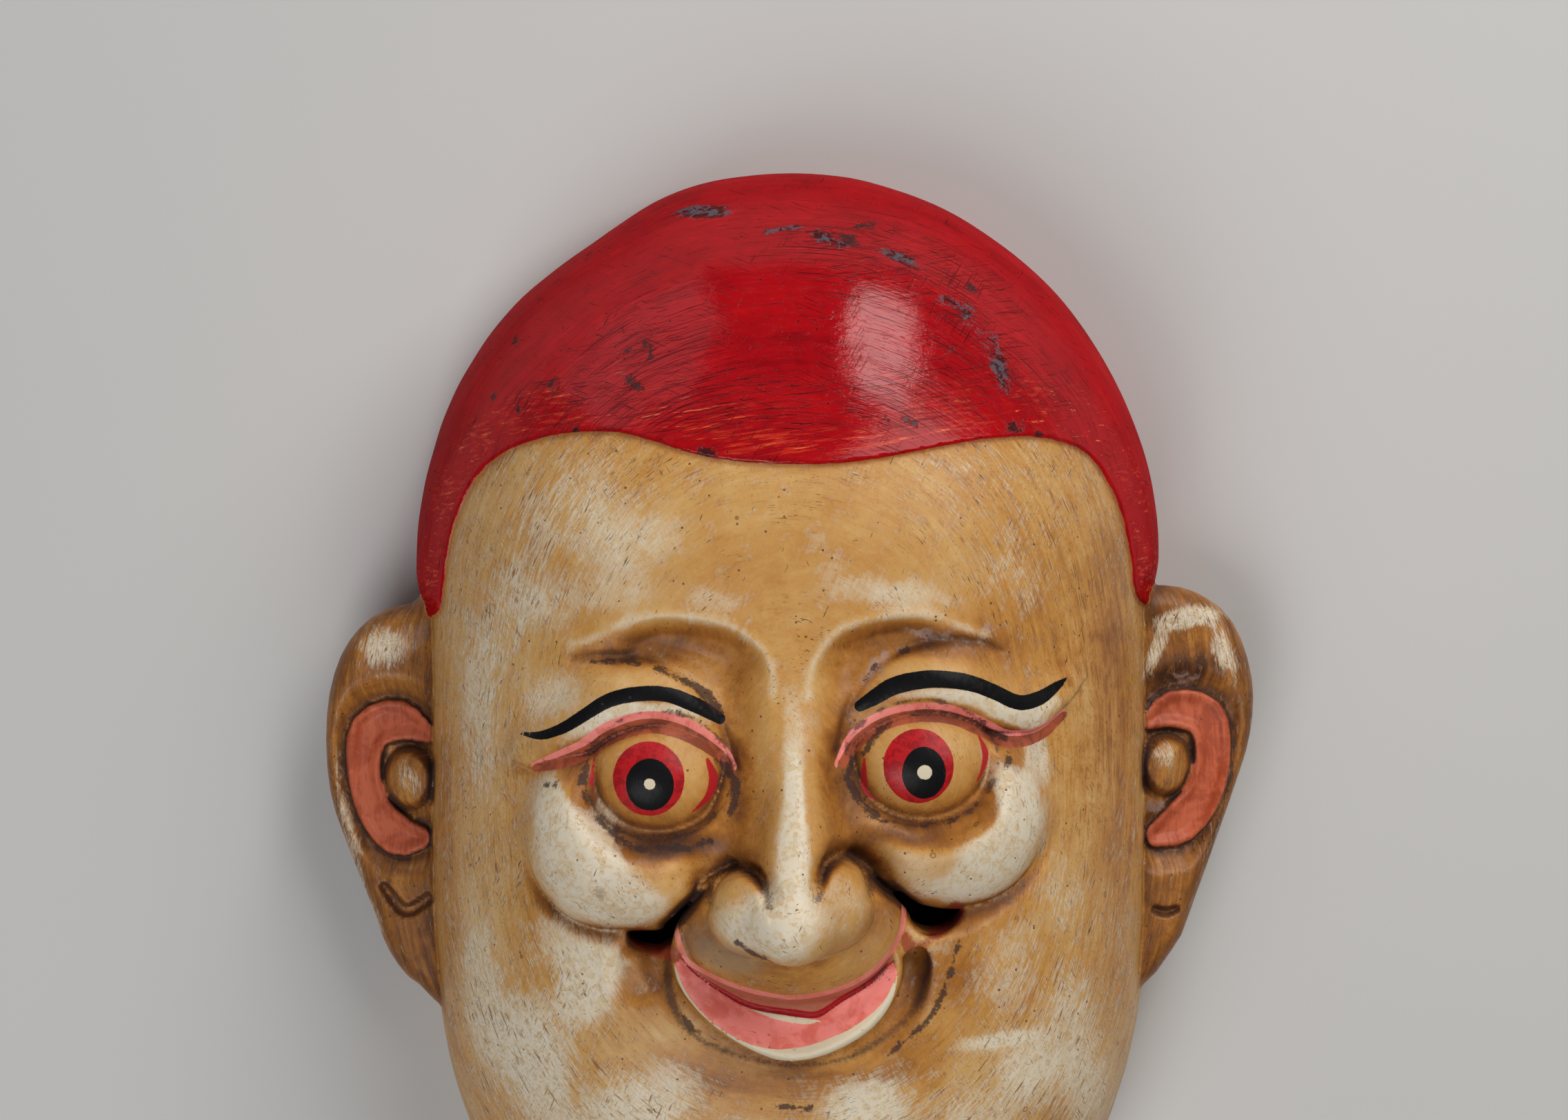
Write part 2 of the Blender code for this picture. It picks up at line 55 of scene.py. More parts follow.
# Head block
CROWN, CHIN_END = 163.9, -167.0
HALF_WIDTH, DEPTH = 107.6, 110.0
SIDE_WALL, FRONT_WALL = 13.0, 22.0
CROWN_START, JAW_START = 50.0, -30.0
CROWN_BEND, JAW_BEND, SECTION_BEND = 1.98, 2.8, 2.45
AXIS_SWAY, SWAY_LENGTH = 1.5, 60.0
CAP_RAISE, CAP_RAISE_BROW = 3.9, 1.3
CAP_EDGE = [(-157, 36), (-115, 37.5), (-105.5, 47), (-98.5, 65), (-87, 80), (-66, 87.3), (-44, 87.8),
            (-20, 80.2), (0, 77.6), (19, 78), (50, 83.3), (70, 83.8), (87, 79), (98.5, 65), (106, 49),
            (114, 36.5), (157, 34)]

# Each side's carving. Bars give a place and a radius at each point of their line.
SIDES = {
    "left": {
        "sign": -1,
        "socket": [(-3.8, 12), (-6.2, 25.6), (-17, 33.6), (-36.3, 36.3), (-54, 30.6), (-68, 19), (-76, -6),
                   (-64, -38), (-36, -46), (-8, -18)],
        "cheek": ((-49, -25.8, 91), (25.7, 27, 24.5)),
        "cheek_foot": ((-37.5, -38, 92), (14, 13.5, 19.5)),
        "eyeball": ((-36.6, -8.2, 96), (20.2, 17.8, 18)),
        "lid": [(-17, -3, 98, 5), (-25, 7, 100, 8), (-35, 13.5, 100.5, 10.5), (-47, 12.5, 100, 10.5),
                (-59, 5, 96.5, 8), (-72, -2, 90, 4.5)],
        "lid_line": [(-72, -7), (-64, -5.2), (-56.2, -2.2), (-48, 2.6), (-40, 4.9), (-32, 3.9), (-24, 0),
                     (-15.5, -6.8)],
        "brow_groove": [(-60, 24.5, 0.6), (-54.4, 25.2, 1), (-42.5, 24.9, 1), (-35.8, 23, 1),
                        (-27.2, 17.4, 1), (-22.5, 12.4, 1), (-17.5, 3, 0.8), (-14.5, -7, 0.5)],
        "lower_lid": [(-60.5, -7, 93.5, 4.2), (-56.5, -19.5, 97, 4.2), (-46, -28.6, 100.5, 4.2),
                      (-33, -30, 103, 4.2), (-20.5, -24.5, 104.5, 4), (-14.5, -13, 103.5, 3.7)],
        "wing": ((-13.2, -46, 118), (9.6, 10.6, 15.5)),
        "nostril": ((-14.5, -56.8, 116), (5.4, 2.4, 8)),
        "curl": [(-23, -43, 1.4), (-22.6, -39.6, 2.4), (-20, -36, 3.0), (-14.6, -34, 3.8), (-9.6, -35.8, 4.2),
                 (-7, -39.6, 3.2), (-6.6, -43, 0.6)],
        "crevice": [(-23.4, -40.4, 1.6), (-27.2, -43.6, 2.8), (-31.2, -46.8, 3.2), (-35, -50.6, 2.0)],
        "corner_hole": [(-37.4, -52.6, 112, 4.6), (-37.4, -51.6, 94, 4.5), (-37.6, -47, 64, 4.2)],
        "ear": [(97, 38), (110, 39.2), (122, 35.5), (131, 25), (135.6, 8), (135.2, -14), (129.4, -32.5),
                (123.4, -48), (118.5, -61.5), (110, -71), (97, -71)],
        "crescent": [(106.5, 2.2, 0, 2.6), (115.5, 6.3, 0, 5.8), (124, 3.2, 0, 6), (126.3, -7, 0, 5),
                     (123.5, -19.5, 0, 5.2), (116.8, -27.6, 0, 5.8), (110, -28.5, 0, 3.4)],
        "tragus": (112.4, -10.9),
        "lobe_crease": [(120.7, -43, 1.1), (114.5, -49.9, 1.5), (107.2, -46.4, 1.3)],
        "lash": [(-76.2, 4.0, 0.3), (-69.5, 3.4, 1.2), (-62.4, 5.8, 1.6), (-56, 9.6, 1.8), (-49.2, 13.3, 2.0),
                 (-40.6, 14.8, 2.1), (-32.9, 14.2, 2.1), (-25.3, 11, 2.1), (-19, 7.2, 1.6)],
        "pink_band": [(-71.5, -5.6, 0.35), (-64, -4.6, 0.85), (-56.2, -1.9, 1), (-49.4, 2.3, 1.1),
                      (-40.7, 4.9, 1.2), (-33.1, 4.3, 1.15), (-25.5, 1, 1), (-18.9, -3.7, 0.7),
                      (-16.1, -6.4, 0.35)],
        "iris": ((-39.1, -8.9), (10, 10.4)),
        "pupil": ((-38.8, -10.5), (6.7, 7.3)),
        "spark": ((-38.8, -10.3), (1.65, 1.6)),
        "vein_out": [(-54.5, -3, 0.2), (-55.2, -8.7, 0.6), (-55.3, -12.6, 0.35), (-54.2, -14.9, 0.1)],
        "vein_in": [(-22.8, -3.8, 0.5), (-21.1, -9.6, 1.3), (-23.1, -14.9, 0.9), (-28, -19, 0.15)],
        "arch": [(-3.8, 13.1), (-4.4, 20.8), (-6.2, 25.6), (-10.5, 29.6), (-17.1, 33.6), (-26.7, 35.7),
                 (-36.3, 36.3), (-45.9, 34.3), (-53.7, 30.6), (-59.5, 28.8)],
    },
    "right": {
        "sign": 1,
        "socket": [(5.8, 12), (9.5, 25.2), (19, 32.8), (37, 35), (53, 29.5), (70, 20), (81, 0), (70, -36),
                   (38, -44), (10, -18)],
        "cheek": ((45.8, -22, 90), (26.2, 26.8, 25)),
        "cheek_foot": ((33, -32, 91), (11, 12, 18)),
        "eyeball": ((37.0, -6.4, 96), (21.2, 17.4, 18)),
        "lid": [(15.5, -2, 98, 5), (23, 7.5, 100, 8), (33, 15, 100.5, 10.5), (45, 15.5, 100, 10.5),
                (57, 9.5, 96.5, 8.5), (68, 7, 91.5, 6), (78, 11, 85, 4)],
        "lid_line": [(79, 7.5), (74, 1.8), (68, -1.4), (61, -1.4), (53.5, 2.2), (45, 5.6), (36, 6.3),
                     (27, 4.3), (20, -0.2), (14, -6.4)],
        "brow_groove": [(60, 24, 0.6), (53.9, 26.9, 0.8), (40.5, 27.3, 1), (30.7, 24, 1), (24.9, 19.9, 1),
                        (19.9, 14.3, 1), (15.9, 6.7, 0.8), (13.7, -2.9, 0.6)],
        "lower_lid": [(62.5, -4, 92.5, 4.2), (58.5, -16.5, 96.5, 4.2), (47, -26.8, 100.5, 4.2),
                      (33, -28.4, 103, 4.2), (20.5, -22.5, 104.5, 4), (13.8, -11, 103.5, 3.7)],
        "wing": ((12.6, -44.2, 118), (9.4, 10.8, 15.5)),
        "nostril": ((14, -56.4, 113), (4, 1.8, 6)),
        "curl": [(21.8, -42, 1.4), (21.6, -38.4, 2.4), (19.8, -33.8, 3.0), (14.6, -31.4, 3.8),
                 (10, -33.2, 4.2), (7.8, -37.4, 3.4), (7.4, -41, 0.6)],
        "crevice": [(22.2, -38.4, 1.6), (25.6, -41.4, 2.8), (29.6, -44, 3.2), (33.2, -47.2, 2.0)],
        "corner_hole": [(39.4, -50.4, 112, 4.7), (39.2, -49.4, 94, 4.7), (38.4, -45, 64, 4.4)],
        "ear": [(97, 36), (109, 39), (121, 37), (131.5, 28.5), (136.8, 12), (135.8, -4), (130.8, -19),
                (124.4, -35.5), (118.2, -51), (110.8, -66.5), (97, -70)],
        "crescent": [(107, 0.8, 0, 2.6), (114.5, 4, 0, 5.4), (123.5, 1.5, 0, 6), (126, -8, 0, 5.2),
                     (122.8, -20.5, 0, 5.6), (115.8, -29.5, 0, 6), (108.5, -33, 0, 3.6)],
        "tragus": (111.6, -12.4),
        "lobe_crease": [(107.2, -54.9, 0.8), (110.3, -55.8, 1), (113.4, -55.1, 0.8)],
        "lash": [(20.2, 9.8, 1.6), (24.6, 12.3, 2.2), (30.4, 15.4, 2.5), (40, 16.9, 2.5), (49.6, 15.8, 2.3),
                 (57.2, 13, 2.1), (64.8, 9.4, 2.1), (71, 10.4, 2.0), (75.6, 13.1, 1.4), (79.6, 15.8, 0.3)],
        "pink_band": [(78, 5.4, 0.3), (72, 0, 0.6), (66, -1.8, 0.75), (60, -1.4, 0.8), (53.5, 2, 0.85),
                      (45, 5.6, 0.9), (36, 6.3, 0.9), (27, 4.3, 0.95), (20, -0.1, 0.9), (14.9, -6, 0.5)],
        "iris": ((36.0, -7.2), (9.8, 10.4)),
        "pupil": ((37.4, -9.1), (6.1, 7.3)),
        "spark": ((37.6, -8.9), (2.1, 2.0)),
        "vein_out": [(53.1, 0.7, 0.2), (54.6, -2.8, 0.8), (54.9, -5.7, 0.9), (53.6, -9.9, 0.5),
                     (51.8, -12.7, 0.1)],
        "vein_in": [(21.1, -4.8, 0.3), (20.8, -10.6, 0.9), (21.4, -14.4, 0.7), (24.8, -17, 0.1)],
        "arch": [(5.8, 12.8), (6.5, 19.5), (9.5, 25.2), (14.5, 30.9), (22.2, 33.6), (30.9, 34.7),
                 (40.5, 34.1), (50, 31), (55.7, 28.9)],
    },
}
NOSE = [(-0.5, 31, 97, 5.5), (0.6, 12, 104.5, 5.2), (1.3, -6, 112.5, 5.6), (1.9, -22, 121, 6.8),
        (1.2, -37, 130, 9), (0, -48.4, 136.5, 10.9)]
NOSE_ROOT = [(0.5, 22, 89, 8), (0.8, 0, 93, 12.5), (1, -20, 99, 17), (0.5, -38, 106, 19.5)]
NOSE_BASE = ((-0.6, -46.2, 120.5), (20.2, 13.0, 18.5))
MUZZLE = ((0.1, -52, 95), (33.1, 23, 30))
LIP_EDGE = [(-37, -40), (-33.3, -48.5), (-28.5, -59.5), (-18.5, -66.2), (-1, -70.4), (17, -66.3), (26, -59.2),
            (31, -48.5), (34, -40)]
LOWER_LIP = [(-34.2, -57), (-31.5, -69), (-19.5, -81.5), (-1, -88.6), (18, -82.6), (28.5, -71.5), (30, -60),
             (22, -52), (0, -60), (-28, -49)]
SMILE = [(-38.6, -56, 102, 3.2), (-36.4, -66, 105, 3.4), (-30.4, -77.4, 108, 4.2), (-17.6, -87.8, 110, 5.4),
         (-1.5, -92.6, 110.5, 6.2), (14, -89.8, 109.5, 6.5), (27.4, -78.6, 106, 6.2), (32.2, -67, 102, 5.2),
         (34.6, -57, 98, 4.4)]
SMILE_LINE = [(-35.4, -60, 1.0), (-35.4, -64.5, 1.4), (-34.2, -72.5, 1.4), (-29.7, -80.2, 1.0),
              (-21.9, -85.2, 0.7), (-10.2, -89, 0.5), (0, -90.6, 0.5), (11.5, -89.6, 0.6), (21.5, -85.6, 0.8),
              (32.5, -77.4, 1.0), (36.6, -67.7, 0.9), (38.3, -59.9, 0.6)]
CHIN_BALL = ((0, -128, 70), (36, 27, 27))
EAR_FRONT, EAR_BACK = 35.5, 15.0
NOSE_ROOM = (0, -38, 78), (27, 36, 26)

# The camera, in metres, pixels and degrees
CAMERA_HEIGHT, CAMERA_UP = 1.350, 0.051
LENS_PIXELS, IMAGE_PIXELS = 6458, 2274
SENSOR = 36.0
CAMERA_TURN = 1.4

# Painted lips, in the view from the front
LIP_CREST = [(-33, -48), (-31.6, -54.7), (-28.9, -60.5), (-19.4, -65.5), (-10, -68.6), (-0.5, -70.2),
             (9.1, -69.1), (18.7, -65.5), (26.5, -59), (30.1, -52.4), (31, -46.7)]
MOUTH_LINE = [(-31.8, -59.1, 0.3), (-27.2, -64, 0.5), (-19.6, -69.3, 0.7), (-12.1, -73.3, 0.9),
              (-0.6, -75.5, 1.0), (5.6, -76.2, 0.9), (9.2, -74.6, 0.8), (13.2, -72, 0.8), (20.7, -67.6, 0.8),
              (27.5, -61.5, 0.4)]
TEETH = [(-14.3, -72.9, 0.5), (-6.3, -75.9, 0.9), (1.3, -77.7, 0.9), (6.6, -78.1, 0.4)]
LIP_OUTER = [(-33.8, -59.2), (-32.1, -66.9), (-26.5, -74.7), (-18, -81.7), (-8.6, -86.7), (-1.9, -88.2),
             (10.7, -86.2), (21.4, -80.1), (27.3, -72.2), (29.3, -62.7)]
LIP_PINK = [(-33.3, -61.1), (-30.2, -68.9), (-23.7, -76.7), (-15.2, -82.3), (-6.6, -84.8), (1.1, -84.6),
            (7.9, -82.9), (16.6, -79.2), (24.4, -73.1), (29, -65)]

# Where the glaze was rubbed off down to the cream ground: centre, radii, turn in degrees, amount
WORN = [
    (-57, 66, 15, 12, 0, 0.22), (-40, 57, 16, 8, 12, 0.26), (-46, 44, 10, 7, 0, 0.22),
    (-76, 42, 8, 19, -15, 0.22), (-88, 12, 6, 26, 0, 0.28), (-64, 41, 10, 6, 0, 0.22),
    (-20, 40, 9, 4, -25, 0.2), (30, 41, 16, 5, -8, 0.3), (12, 50, 8, 10, 0, 0.08),
    (62, 46, 10, 7, -30, 0.12), (86, 8, 12, 42, 0, -0.3), (-66, 14, 10, 7, 25, 0.3),
    (1.6, 3, 3.0, 12, 4, 0.26), (1.2, -14, 2.6, 11, 2, 0.7), (0.6, -30, 4.2, 12, 2, 0.85),
    (-3, -47, 9.5, 10, 0, 0.8), (-13, -49, 8.5, 6, 0, 0.42), (14, -45, 7, 8, 0, 0.2),
    (-58, -25, 11, 10, 30, 0.85), (-56, -37, 13, 10, -20, 0.75), (-44, -45, 13, 6, 0, 0.5),
    (-67, -16, 5.5, 9, 0, 0.55), (63, -17, 6.5, 12, 24, 0.85), (56, -34, 11, 8, 35, 0.75),
    (47, -42, 12, 5, 8, 0.5), (31, -40, 8, 5, -20, 0.28), (70, -4, 4, 9, 10, 0.5),
    (-58, -66, 8, 13, -24, 0.75), (-66, -54, 7, 9, -10, 0.3), (-76, -88, 11, 18, 20, 0.6),
    (-90, -70, 6, 24, 0, 0.3), (-44, -102, 15, 9, 0, 0.42), (-34, -92, 7, 5, 0, 0.2),
    (20, -103, 12, 8, 0, 0.6), (-62, -116, 18, 13, 0, 0.34), (8, -126, 26, 14, 0, 0.36),
    (-14, -112, 12, 6, 0, 0.25), (60, -66, 9, 12, 0, 0.2), (58, -86, 12, 2.4, 4, 0.5),
    (66, -96, 9, 10, 0, 0.42), (78, -84, 8, 16, 0, 0.26), (50, -108, 12, 9, 0, 0.25),
    (84, -104, 8, 14, 0, 0.3), (76, -44, 7, 12, 0, 0.16), (-52, 8, 11, 3.6, 30, 0.8),
    (-36, 10.4, 13, 2.2, 0, 0.75), (-24, 7, 6, 2, -30, 0.5), (62, 7, 10, 3.6, -14, 0.95),
    (48, 12, 10, 2.6, -6, 0.8), (34, 12.6, 8, 1.8, 6, 0.45), (74, 9, 4, 3, 20, 0.5),
    (-119, 28, 8, 6, 10, 0.55), (-131, -26, 2.5, 20, 12, 0.3), (-126, -50, 3, 12, 22, 0.35),
    (-112, -11, 4, 5, 0, 0.3), (119, 31, 10, 3.2, 8, 0.75), (129, 22, 3, 9, 20, 0.55),
    (109, 22, 2.6, 8, -25, 0.5), (111, -9, 4, 6, 0, 0.3), (124, -46, 2, 14, -18, 0.25),
]
# Where the glaze lies thick and brown
STAINED = [
    (-37, 27, 24, 6, 6, 0.26), (36, 28, 26, 6, -4, 0.28), (-14, 12, 6, 15, 0, 0.16),
    (14, -6, 6, 24, 0, 0.24), (22, 14, 7, 8, 20, 0.14), (-12, -22, 6, 12, 0, 0.12),
    (-62, -4, 6, 6, 0, 0.2), (64, -10, 4, 8, 0, 0.2), (-43, -66, 9, 11, 20, 0.24),
    (-26, -92, 14, 5, -24, 0.34), (6, -96, 24, 5, 0, 0.3), (44, -64, 9, 13, -30, 0.3),
    (56, -50, 12, 6, 20, 0.1), (34, -88, 13, 7, 35, 0.26), (94, -20, 7, 60, 0, 0.2),
    (96, 30, 9, 30, 0, 0.14), (-101, -30, 5, 50, 0, 0.22), (-72, -44, 5, 12, 0, 0.14),
    (72, 40, 22, 26, 0, 0.16), (26, 68, 30, 10, 0, 0.05), (0, 50, 24, 24, 0, 0.03),
    (-70, 64, 8, 12, 0, 0.12), (-114, 24, 10, 3, 0, 0.1), (117, 15, 11, 4, 10, 0.3),
    (-6, -65, 22, 5, 0, 0.12), (-26, -52, 6, 8, 30, 0.34), (27, -48, 6, 8, -30, 0.32),
    (-31, -28, 14, 4, 4, 0.42), (33, -27, 14, 3.5, -6, 0.26), (-14, -15, 3, 12, 0, 0.2),
    (58, -76, 15, 14, 0, 0.12), (32, -35.5, 9, 6, -20, -0.42), (-31, -38, 7, 6, 20, -0.2),
    (112, -62, 6, 8, 0, -0.1),
]
SMUDGES = [(-53.5, -40.5, 2.0, 2.6, 20, 0.8), (-62, -36, 6, 5, 0, 0.22), (-17, -59, 10, 5, -14, 0.8),
           (18, -58, 8, 4, 24, 0.45), (62, -18, 3, 4, 0, 0.3), (-3, -56, 7, 4, 0, 0.25),
           (-27, -53, 6, 7, 30, 0.5), (25, -50, 6, 6, -30, 0.4), (-48, -62, 6, 6, 0, 0.2)]
BLOOM = [(24, 19, 3.6, 10, -35, 0.6), (40, 29.5, 9, 1.8, -10, 0.6), (56, 30.5, 8, 1.4, -4, 0.5),
         (17.5, 3, 1.8, 9, -8, 0.5), (16.5, -19, 1.4, 2.4, 0, 0.4), (-38, -72, 2.4, 7, 20, 0.35),
         (35, -60, 1.2, 5, -4, 0.4), (33, -70, 1.2, 6, -12, 0.4), (-18, 17, 2.4, 6, 30, 0.3),
         (-110, -30, 4, 3, 0, 0.6), (108, 6, 3, 4, 0, 0.6), (108, -24, 4, 3, 0, 0.7),
         (117, 13, 6, 3, 14, 0.6)]
REDS = [(-43.4, -54, 2.6, 3.2, 0, 0.95), (-37, -58.4, 6, 2, -12, 0.8), (-33.4, -57.6, 2, 3, 0, 0.6),
        (46, -48.6, 2.4, 3.2, 0, 0.95),
        (41, -54.4, 5, 2, 30, 0.7), (31.5, -56.5, 2, 4, 0, 0.8), (35, -58, 3, 2, 0, 0.5)]
CHIPS = [(-21, 153, 10, 2.6, 0, 1), (-2, 146, 3, 1.3, 0, 0.9), (4, 147, 4, 1.4, 0, 0.9),
         (13, 144, 4, 2.5, -20, 0.9), (19, 141, 3, 2, 0, 0.8), (31, 139, 3.5, 2, -10, 0.6),
         (37, 136, 6, 2.2, -25, 0.8), (48, 124, 4, 2, -20, 0.7), (53, 120, 3, 3, 0, 0.6),
         (60, 112, 5, 14, 25, 0.45), (63, 100, 3, 10, 10, 0.4), (-45, 108, 4, 10, 8, 0.35),
         (30, 114, 3, 3, 0, 0.4)]
PITS = [(-44, 118, 1, 1.6, 0), (-43.5, 112, 1.5, 2.2, 0), (-39, 113, 1.3, 1.6, 0), (-36.5, 111, 1.8, 3, 12),
        (-38, 107, 1.4, 1.6, 0), (-42, 103, 2.4, 1.8, 20), (-40, 100.4, 2, 1.4, 0),
        (-76.5, 116.5, 1.1, 2.4, -20), (-75.4, 104, 0.9, 1.6, 0), (-82.4, 100, 1.2, 1.8, 0),
        (-65.5, 102, 1, 1.4, 0), (-55, 142, 1, 2.4, -50), (-57.9, 88.6, 1.4, 1.6, 0),
        (26, 147.5, 4.5, 1.4, 12), (21, 142.5, 4, 2.3, -40), (-6.3, 111, 1.2, 1.2, 0),
        (49.5, 109, 1.3, 1.6, 0), (3.5, 153.5, 1.8, 1.1, 0), (-52.5, 87.5, 1.3, 1.6, 0),
        (-21, 81.6, 3.6, 1.7, -15), (36, 89, 3, 1.2, -30), (30, 90, 1.6, 1, 0), (66, 87, 3.4, 2, 0),
        (73, 85, 1.6, 1.2, 0), (-75, 96, 1.2, 1.6, 0), (56, 128, 1.4, 2.4, 20)]

# Broken dark strokes of old grime, and one painted shadow line under the nose: places and half widths
GRIME_AND_SHADOW_LINES = [
    [(-54.4, 23.8, 0.5), (-48, 24, 0.8), (-41.4, 23, 0.5)], [(-36.4, 21.8, 0.9), (-34.2, 21, 1.1)],
    [(-31.5, 19.4, 0.5), (-25.6, 16.5, 0.9), (-21.6, 13, 1.3), (-18.6, 8.1, 0.5)],
    [(-20.6, -3.8, 0.4), (-15.9, -8.7, 1.3), (-14.9, -13.7, 1.4), (-17.2, -20.6, 0.5)],
    [(-54.2, -19.6, 0.5), (-50.3, -23.5, 0.6), (-44.3, -28, 0.9), (-39.9, -29, 0.7)],
    [(-37, -28, 0.5), (-29, -28.6, 1.0), (-22.6, -26.5, 0.6)], [(-58.4, -9.6, 1.2), (-57.6, -8.4, 1.2)],
    [(-69, -10.8, 0.5), (-66, -10.4, 0.7)], [(-57.8, -12, 0.4), (-56.6, -17, 0.5)],
    [(17.6, -4.8, 0.5), (16.4, -10.7, 1.1), (18.9, -14.8, 1.2), (23.3, -20.6, 1.0), (26.8, -23.2, 0.9)],
    [(35.7, -24, 0.9), (45.5, -22.6, 0.5)], [(20.9, -3.8, 0.7), (24.6, 1.6, 0.6), (28.8, 4.9, 0.5)],
    [(34.4, 6.8, 0.5), (37, 7, 0.5)], [(50.2, 5.6, 0.7), (54.8, 4, 0.6)],
    [(59, 0.4, 0.9), (60.4, -0.6, 0.7)], [(61.6, -4.8, 0.5), (60.6, -9, 0.7)],
    [(32.4, 24.8, 0.8), (34, 25, 0.8)], [(20.9, 16.4, 0.5), (24.8, 20.9, 0.6)],
    # Painted shadow: a dark line under the nose's left wing and tip, where the nose overhangs the lip.
    [(-15.5, -53, 0.3), (-12.5, -55.6, 0.9), (-9, -57.6, 0.9), (-5, -59, 0.3)],
    [(-7.4, -102, 0.5), (1.4, -103.4, 0.9), (5, -102.6, 0.5)],
    [(-32, -75, 0.5), (-29.6, -79, 0.9), (-27, -81, 0.5)],
    [(46.8, -56, 0.4), (43.6, -66, 0.7), (38, -78, 0.7), (26, -88.6, 0.4)],
]

# Where the cap is scratched most
SCRATCHED = [(30, 136, 32, 14, -15, 1.0), (62, 116, 12, 24, 20, 0.9), (-36, 110, 26, 18, 25, 0.8),
             (-4, 94, 70, 9, 0, 0.9), (-62, 98, 12, 14, 0, 0.7), (46, 104, 16, 16, 0, 0.6),
             (84, 92, 8, 20, 20, 0.5)]


def smooth_min(a, b, blend):
    h = np.clip(0.5 + 0.5 * (b - a) / blend, 0, 1)
    return b + (a - b) * h - blend * h * (1 - h)


def smooth_max(a, b, blend):
    return -smooth_min(-a, -b, blend)


def ramp(value, low, high):
    t = np.clip((value - low) / (high - low), 0, 1)
    return t * t * (3 - 2 * t)


def bump(value, width):
    return np.exp(-(value / width)**2)


def curve(points, closed=False, steps=4):
    """A smooth curve that passes through the points."""
    p = np.array(points, float)
    start, *end = [p[-1], p[0], p[1]] if closed else [2 * p[0] - p[1], 2 * p[-1] - p[-2]]
    p = np.vstack([start, p, *end])
    t = (np.arange(steps) / steps)[:, None]
    spans = [b + 0.5 * t * (c - a + t * (2 * a - 5 * b + 4 * c - d + t * (3 * (b - c) + d - a)))
             for a, b, c, d in zip(p, p[1:], p[2:], p[3:])]
    return np.vstack([*spans, p[-2]])


def ellipsoid(x, y, z, centre, radii):
    u, v, w = ((axis - c) / r for axis, c, r in zip((x, y, z), centre, radii))
    near = np.sqrt(u * u + v * v + w * w)
    slope = np.sqrt((u / radii[0])**2 + (v / radii[1])**2 + (w / radii[2])**2)
    return near * (near - 1) / np.maximum(slope, 1e-6)


def bar(x, y, z, line):
    """A round bar along a line of points, each with its place and radius."""
    best = np.full(x.shape, 1e9)
    for a, b in zip(line[:-1], line[1:]):
        e = b[:3] - a[:3]
        u, v, w = x - a[0], y - a[1], z - a[2]
        t = np.clip((u * e[0] + v * e[1] + w * e[2]) / (e @ e), 0, 1)
        gap = np.sqrt((u - t * e[0])**2 + (v - t * e[1])**2 + (w - t * e[2])**2)
        best = np.minimum(best, gap - a[3] - (b[3] - a[3]) * t)
    return best


def beside(x, y, line):
    """Distance from a line, positive on its left, and how far along it the nearest place is, from 0 to 1."""
    best = np.full(x.shape, 1e18)
    side = np.zeros(x.shape)
    along = np.zeros(x.shape)
    for i, (a, b) in enumerate(zip(line[:-1], line[1:])):
        e = b - a
        u, v = x - a[0], y - a[1]
        t = np.clip((u * e[0] + v * e[1]) / (e @ e), 0, 1)
        u, v = u - t * e[0], v - t * e[1]
        gap = u * u + v * v
        closer = gap < best
        best = np.where(closer, gap, best)
        side = np.where(closer, e[0] * v - e[1] * u, side)
        along = np.where(closer, (i + t) / (len(line) - 1), along)
    return np.sqrt(best) * np.where(side < 0, -1.0, 1.0), along


def outline(x, y, ring):
    """Distance from a closed outline, negative inside."""
    best = np.full(x.shape, 1e18)
    inside = np.zeros(x.shape, bool)
    for a, b in zip(ring[:-1], ring[1:]):
        e = b - a
        u, v = x - a[0], y - a[1]
        t = np.clip((u * e[0] + v * e[1]) / (e @ e), 0, 1)
        best = np.minimum(best, (u - t * e[0])**2 + (v - t * e[1])**2)
        if abs(e[1]) > 1e-9:
            inside ^= ((a[1] > y) != (b[1] > y)) & (x < a[0] + e[0] * v / e[1])
    return np.sqrt(best) * np.where(inside, -1.0, 1.0)


def stroke(x, y, line):
    """How far inside a brush stroke a point is; the line gives places and half widths."""
    best = np.full(x.shape, -1e9)
    for a, b in zip(line[:-1], line[1:]):
        e = b[:2] - a[:2]
        u, v = x - a[0], y - a[1]
        t = np.clip((u * e[0] + v * e[1]) / (e @ e), 0, 1)
        best = np.maximum(best, a[2] + (b[2] - a[2]) * t - np.hypot(u - t * e[0], v - t * e[1]))
    return best


def blobs(x, y, spots):
    """Soft patches added up: centre, radii, turn in degrees and amount of each."""
    total = np.zeros(x.shape)
    for cx, cy, rx, ry, turn, amount in spots:
        c, s = math.cos(math.radians(turn)), math.sin(math.radians(turn))
        u, v = (c * (x - cx) + s * (y - cy)) / rx, (c * (y - cy) - s * (x - cx)) / ry
        total += amount * np.exp(-(u * u + v * v)**1.5)
    return total


CURVES = {"cap": curve(CAP_EDGE), "nose": curve(NOSE, steps=3), "root": curve(NOSE_ROOT, steps=2),
          "lip_edge": curve(LIP_EDGE), "lower_lip": curve(LOWER_LIP, closed=True),
          "smile": curve(SMILE, steps=3), "mouth": curve(MOUTH_LINE)}
CURVE_STEPS = {"lid": 7, "lash": 4, "lobe_crease": 4}
for name, side in SIDES.items():
    for key in ("socket", "ear"):
        CURVES[name, key] = curve(side[key], closed=True, steps=3)
    for key in ("lid", "lid_line", "lower_lid", "curl", "crescent", "brow_groove", "lash", "pink_band",
                "vein_in", "vein_out", "arch", "lobe_crease", "crevice"):
        CURVES[name, key] = curve(side[key], steps=CURVE_STEPS.get(key, 3))


def sway(y):
    return AXIS_SWAY * np.tanh(y / SWAY_LENGTH)


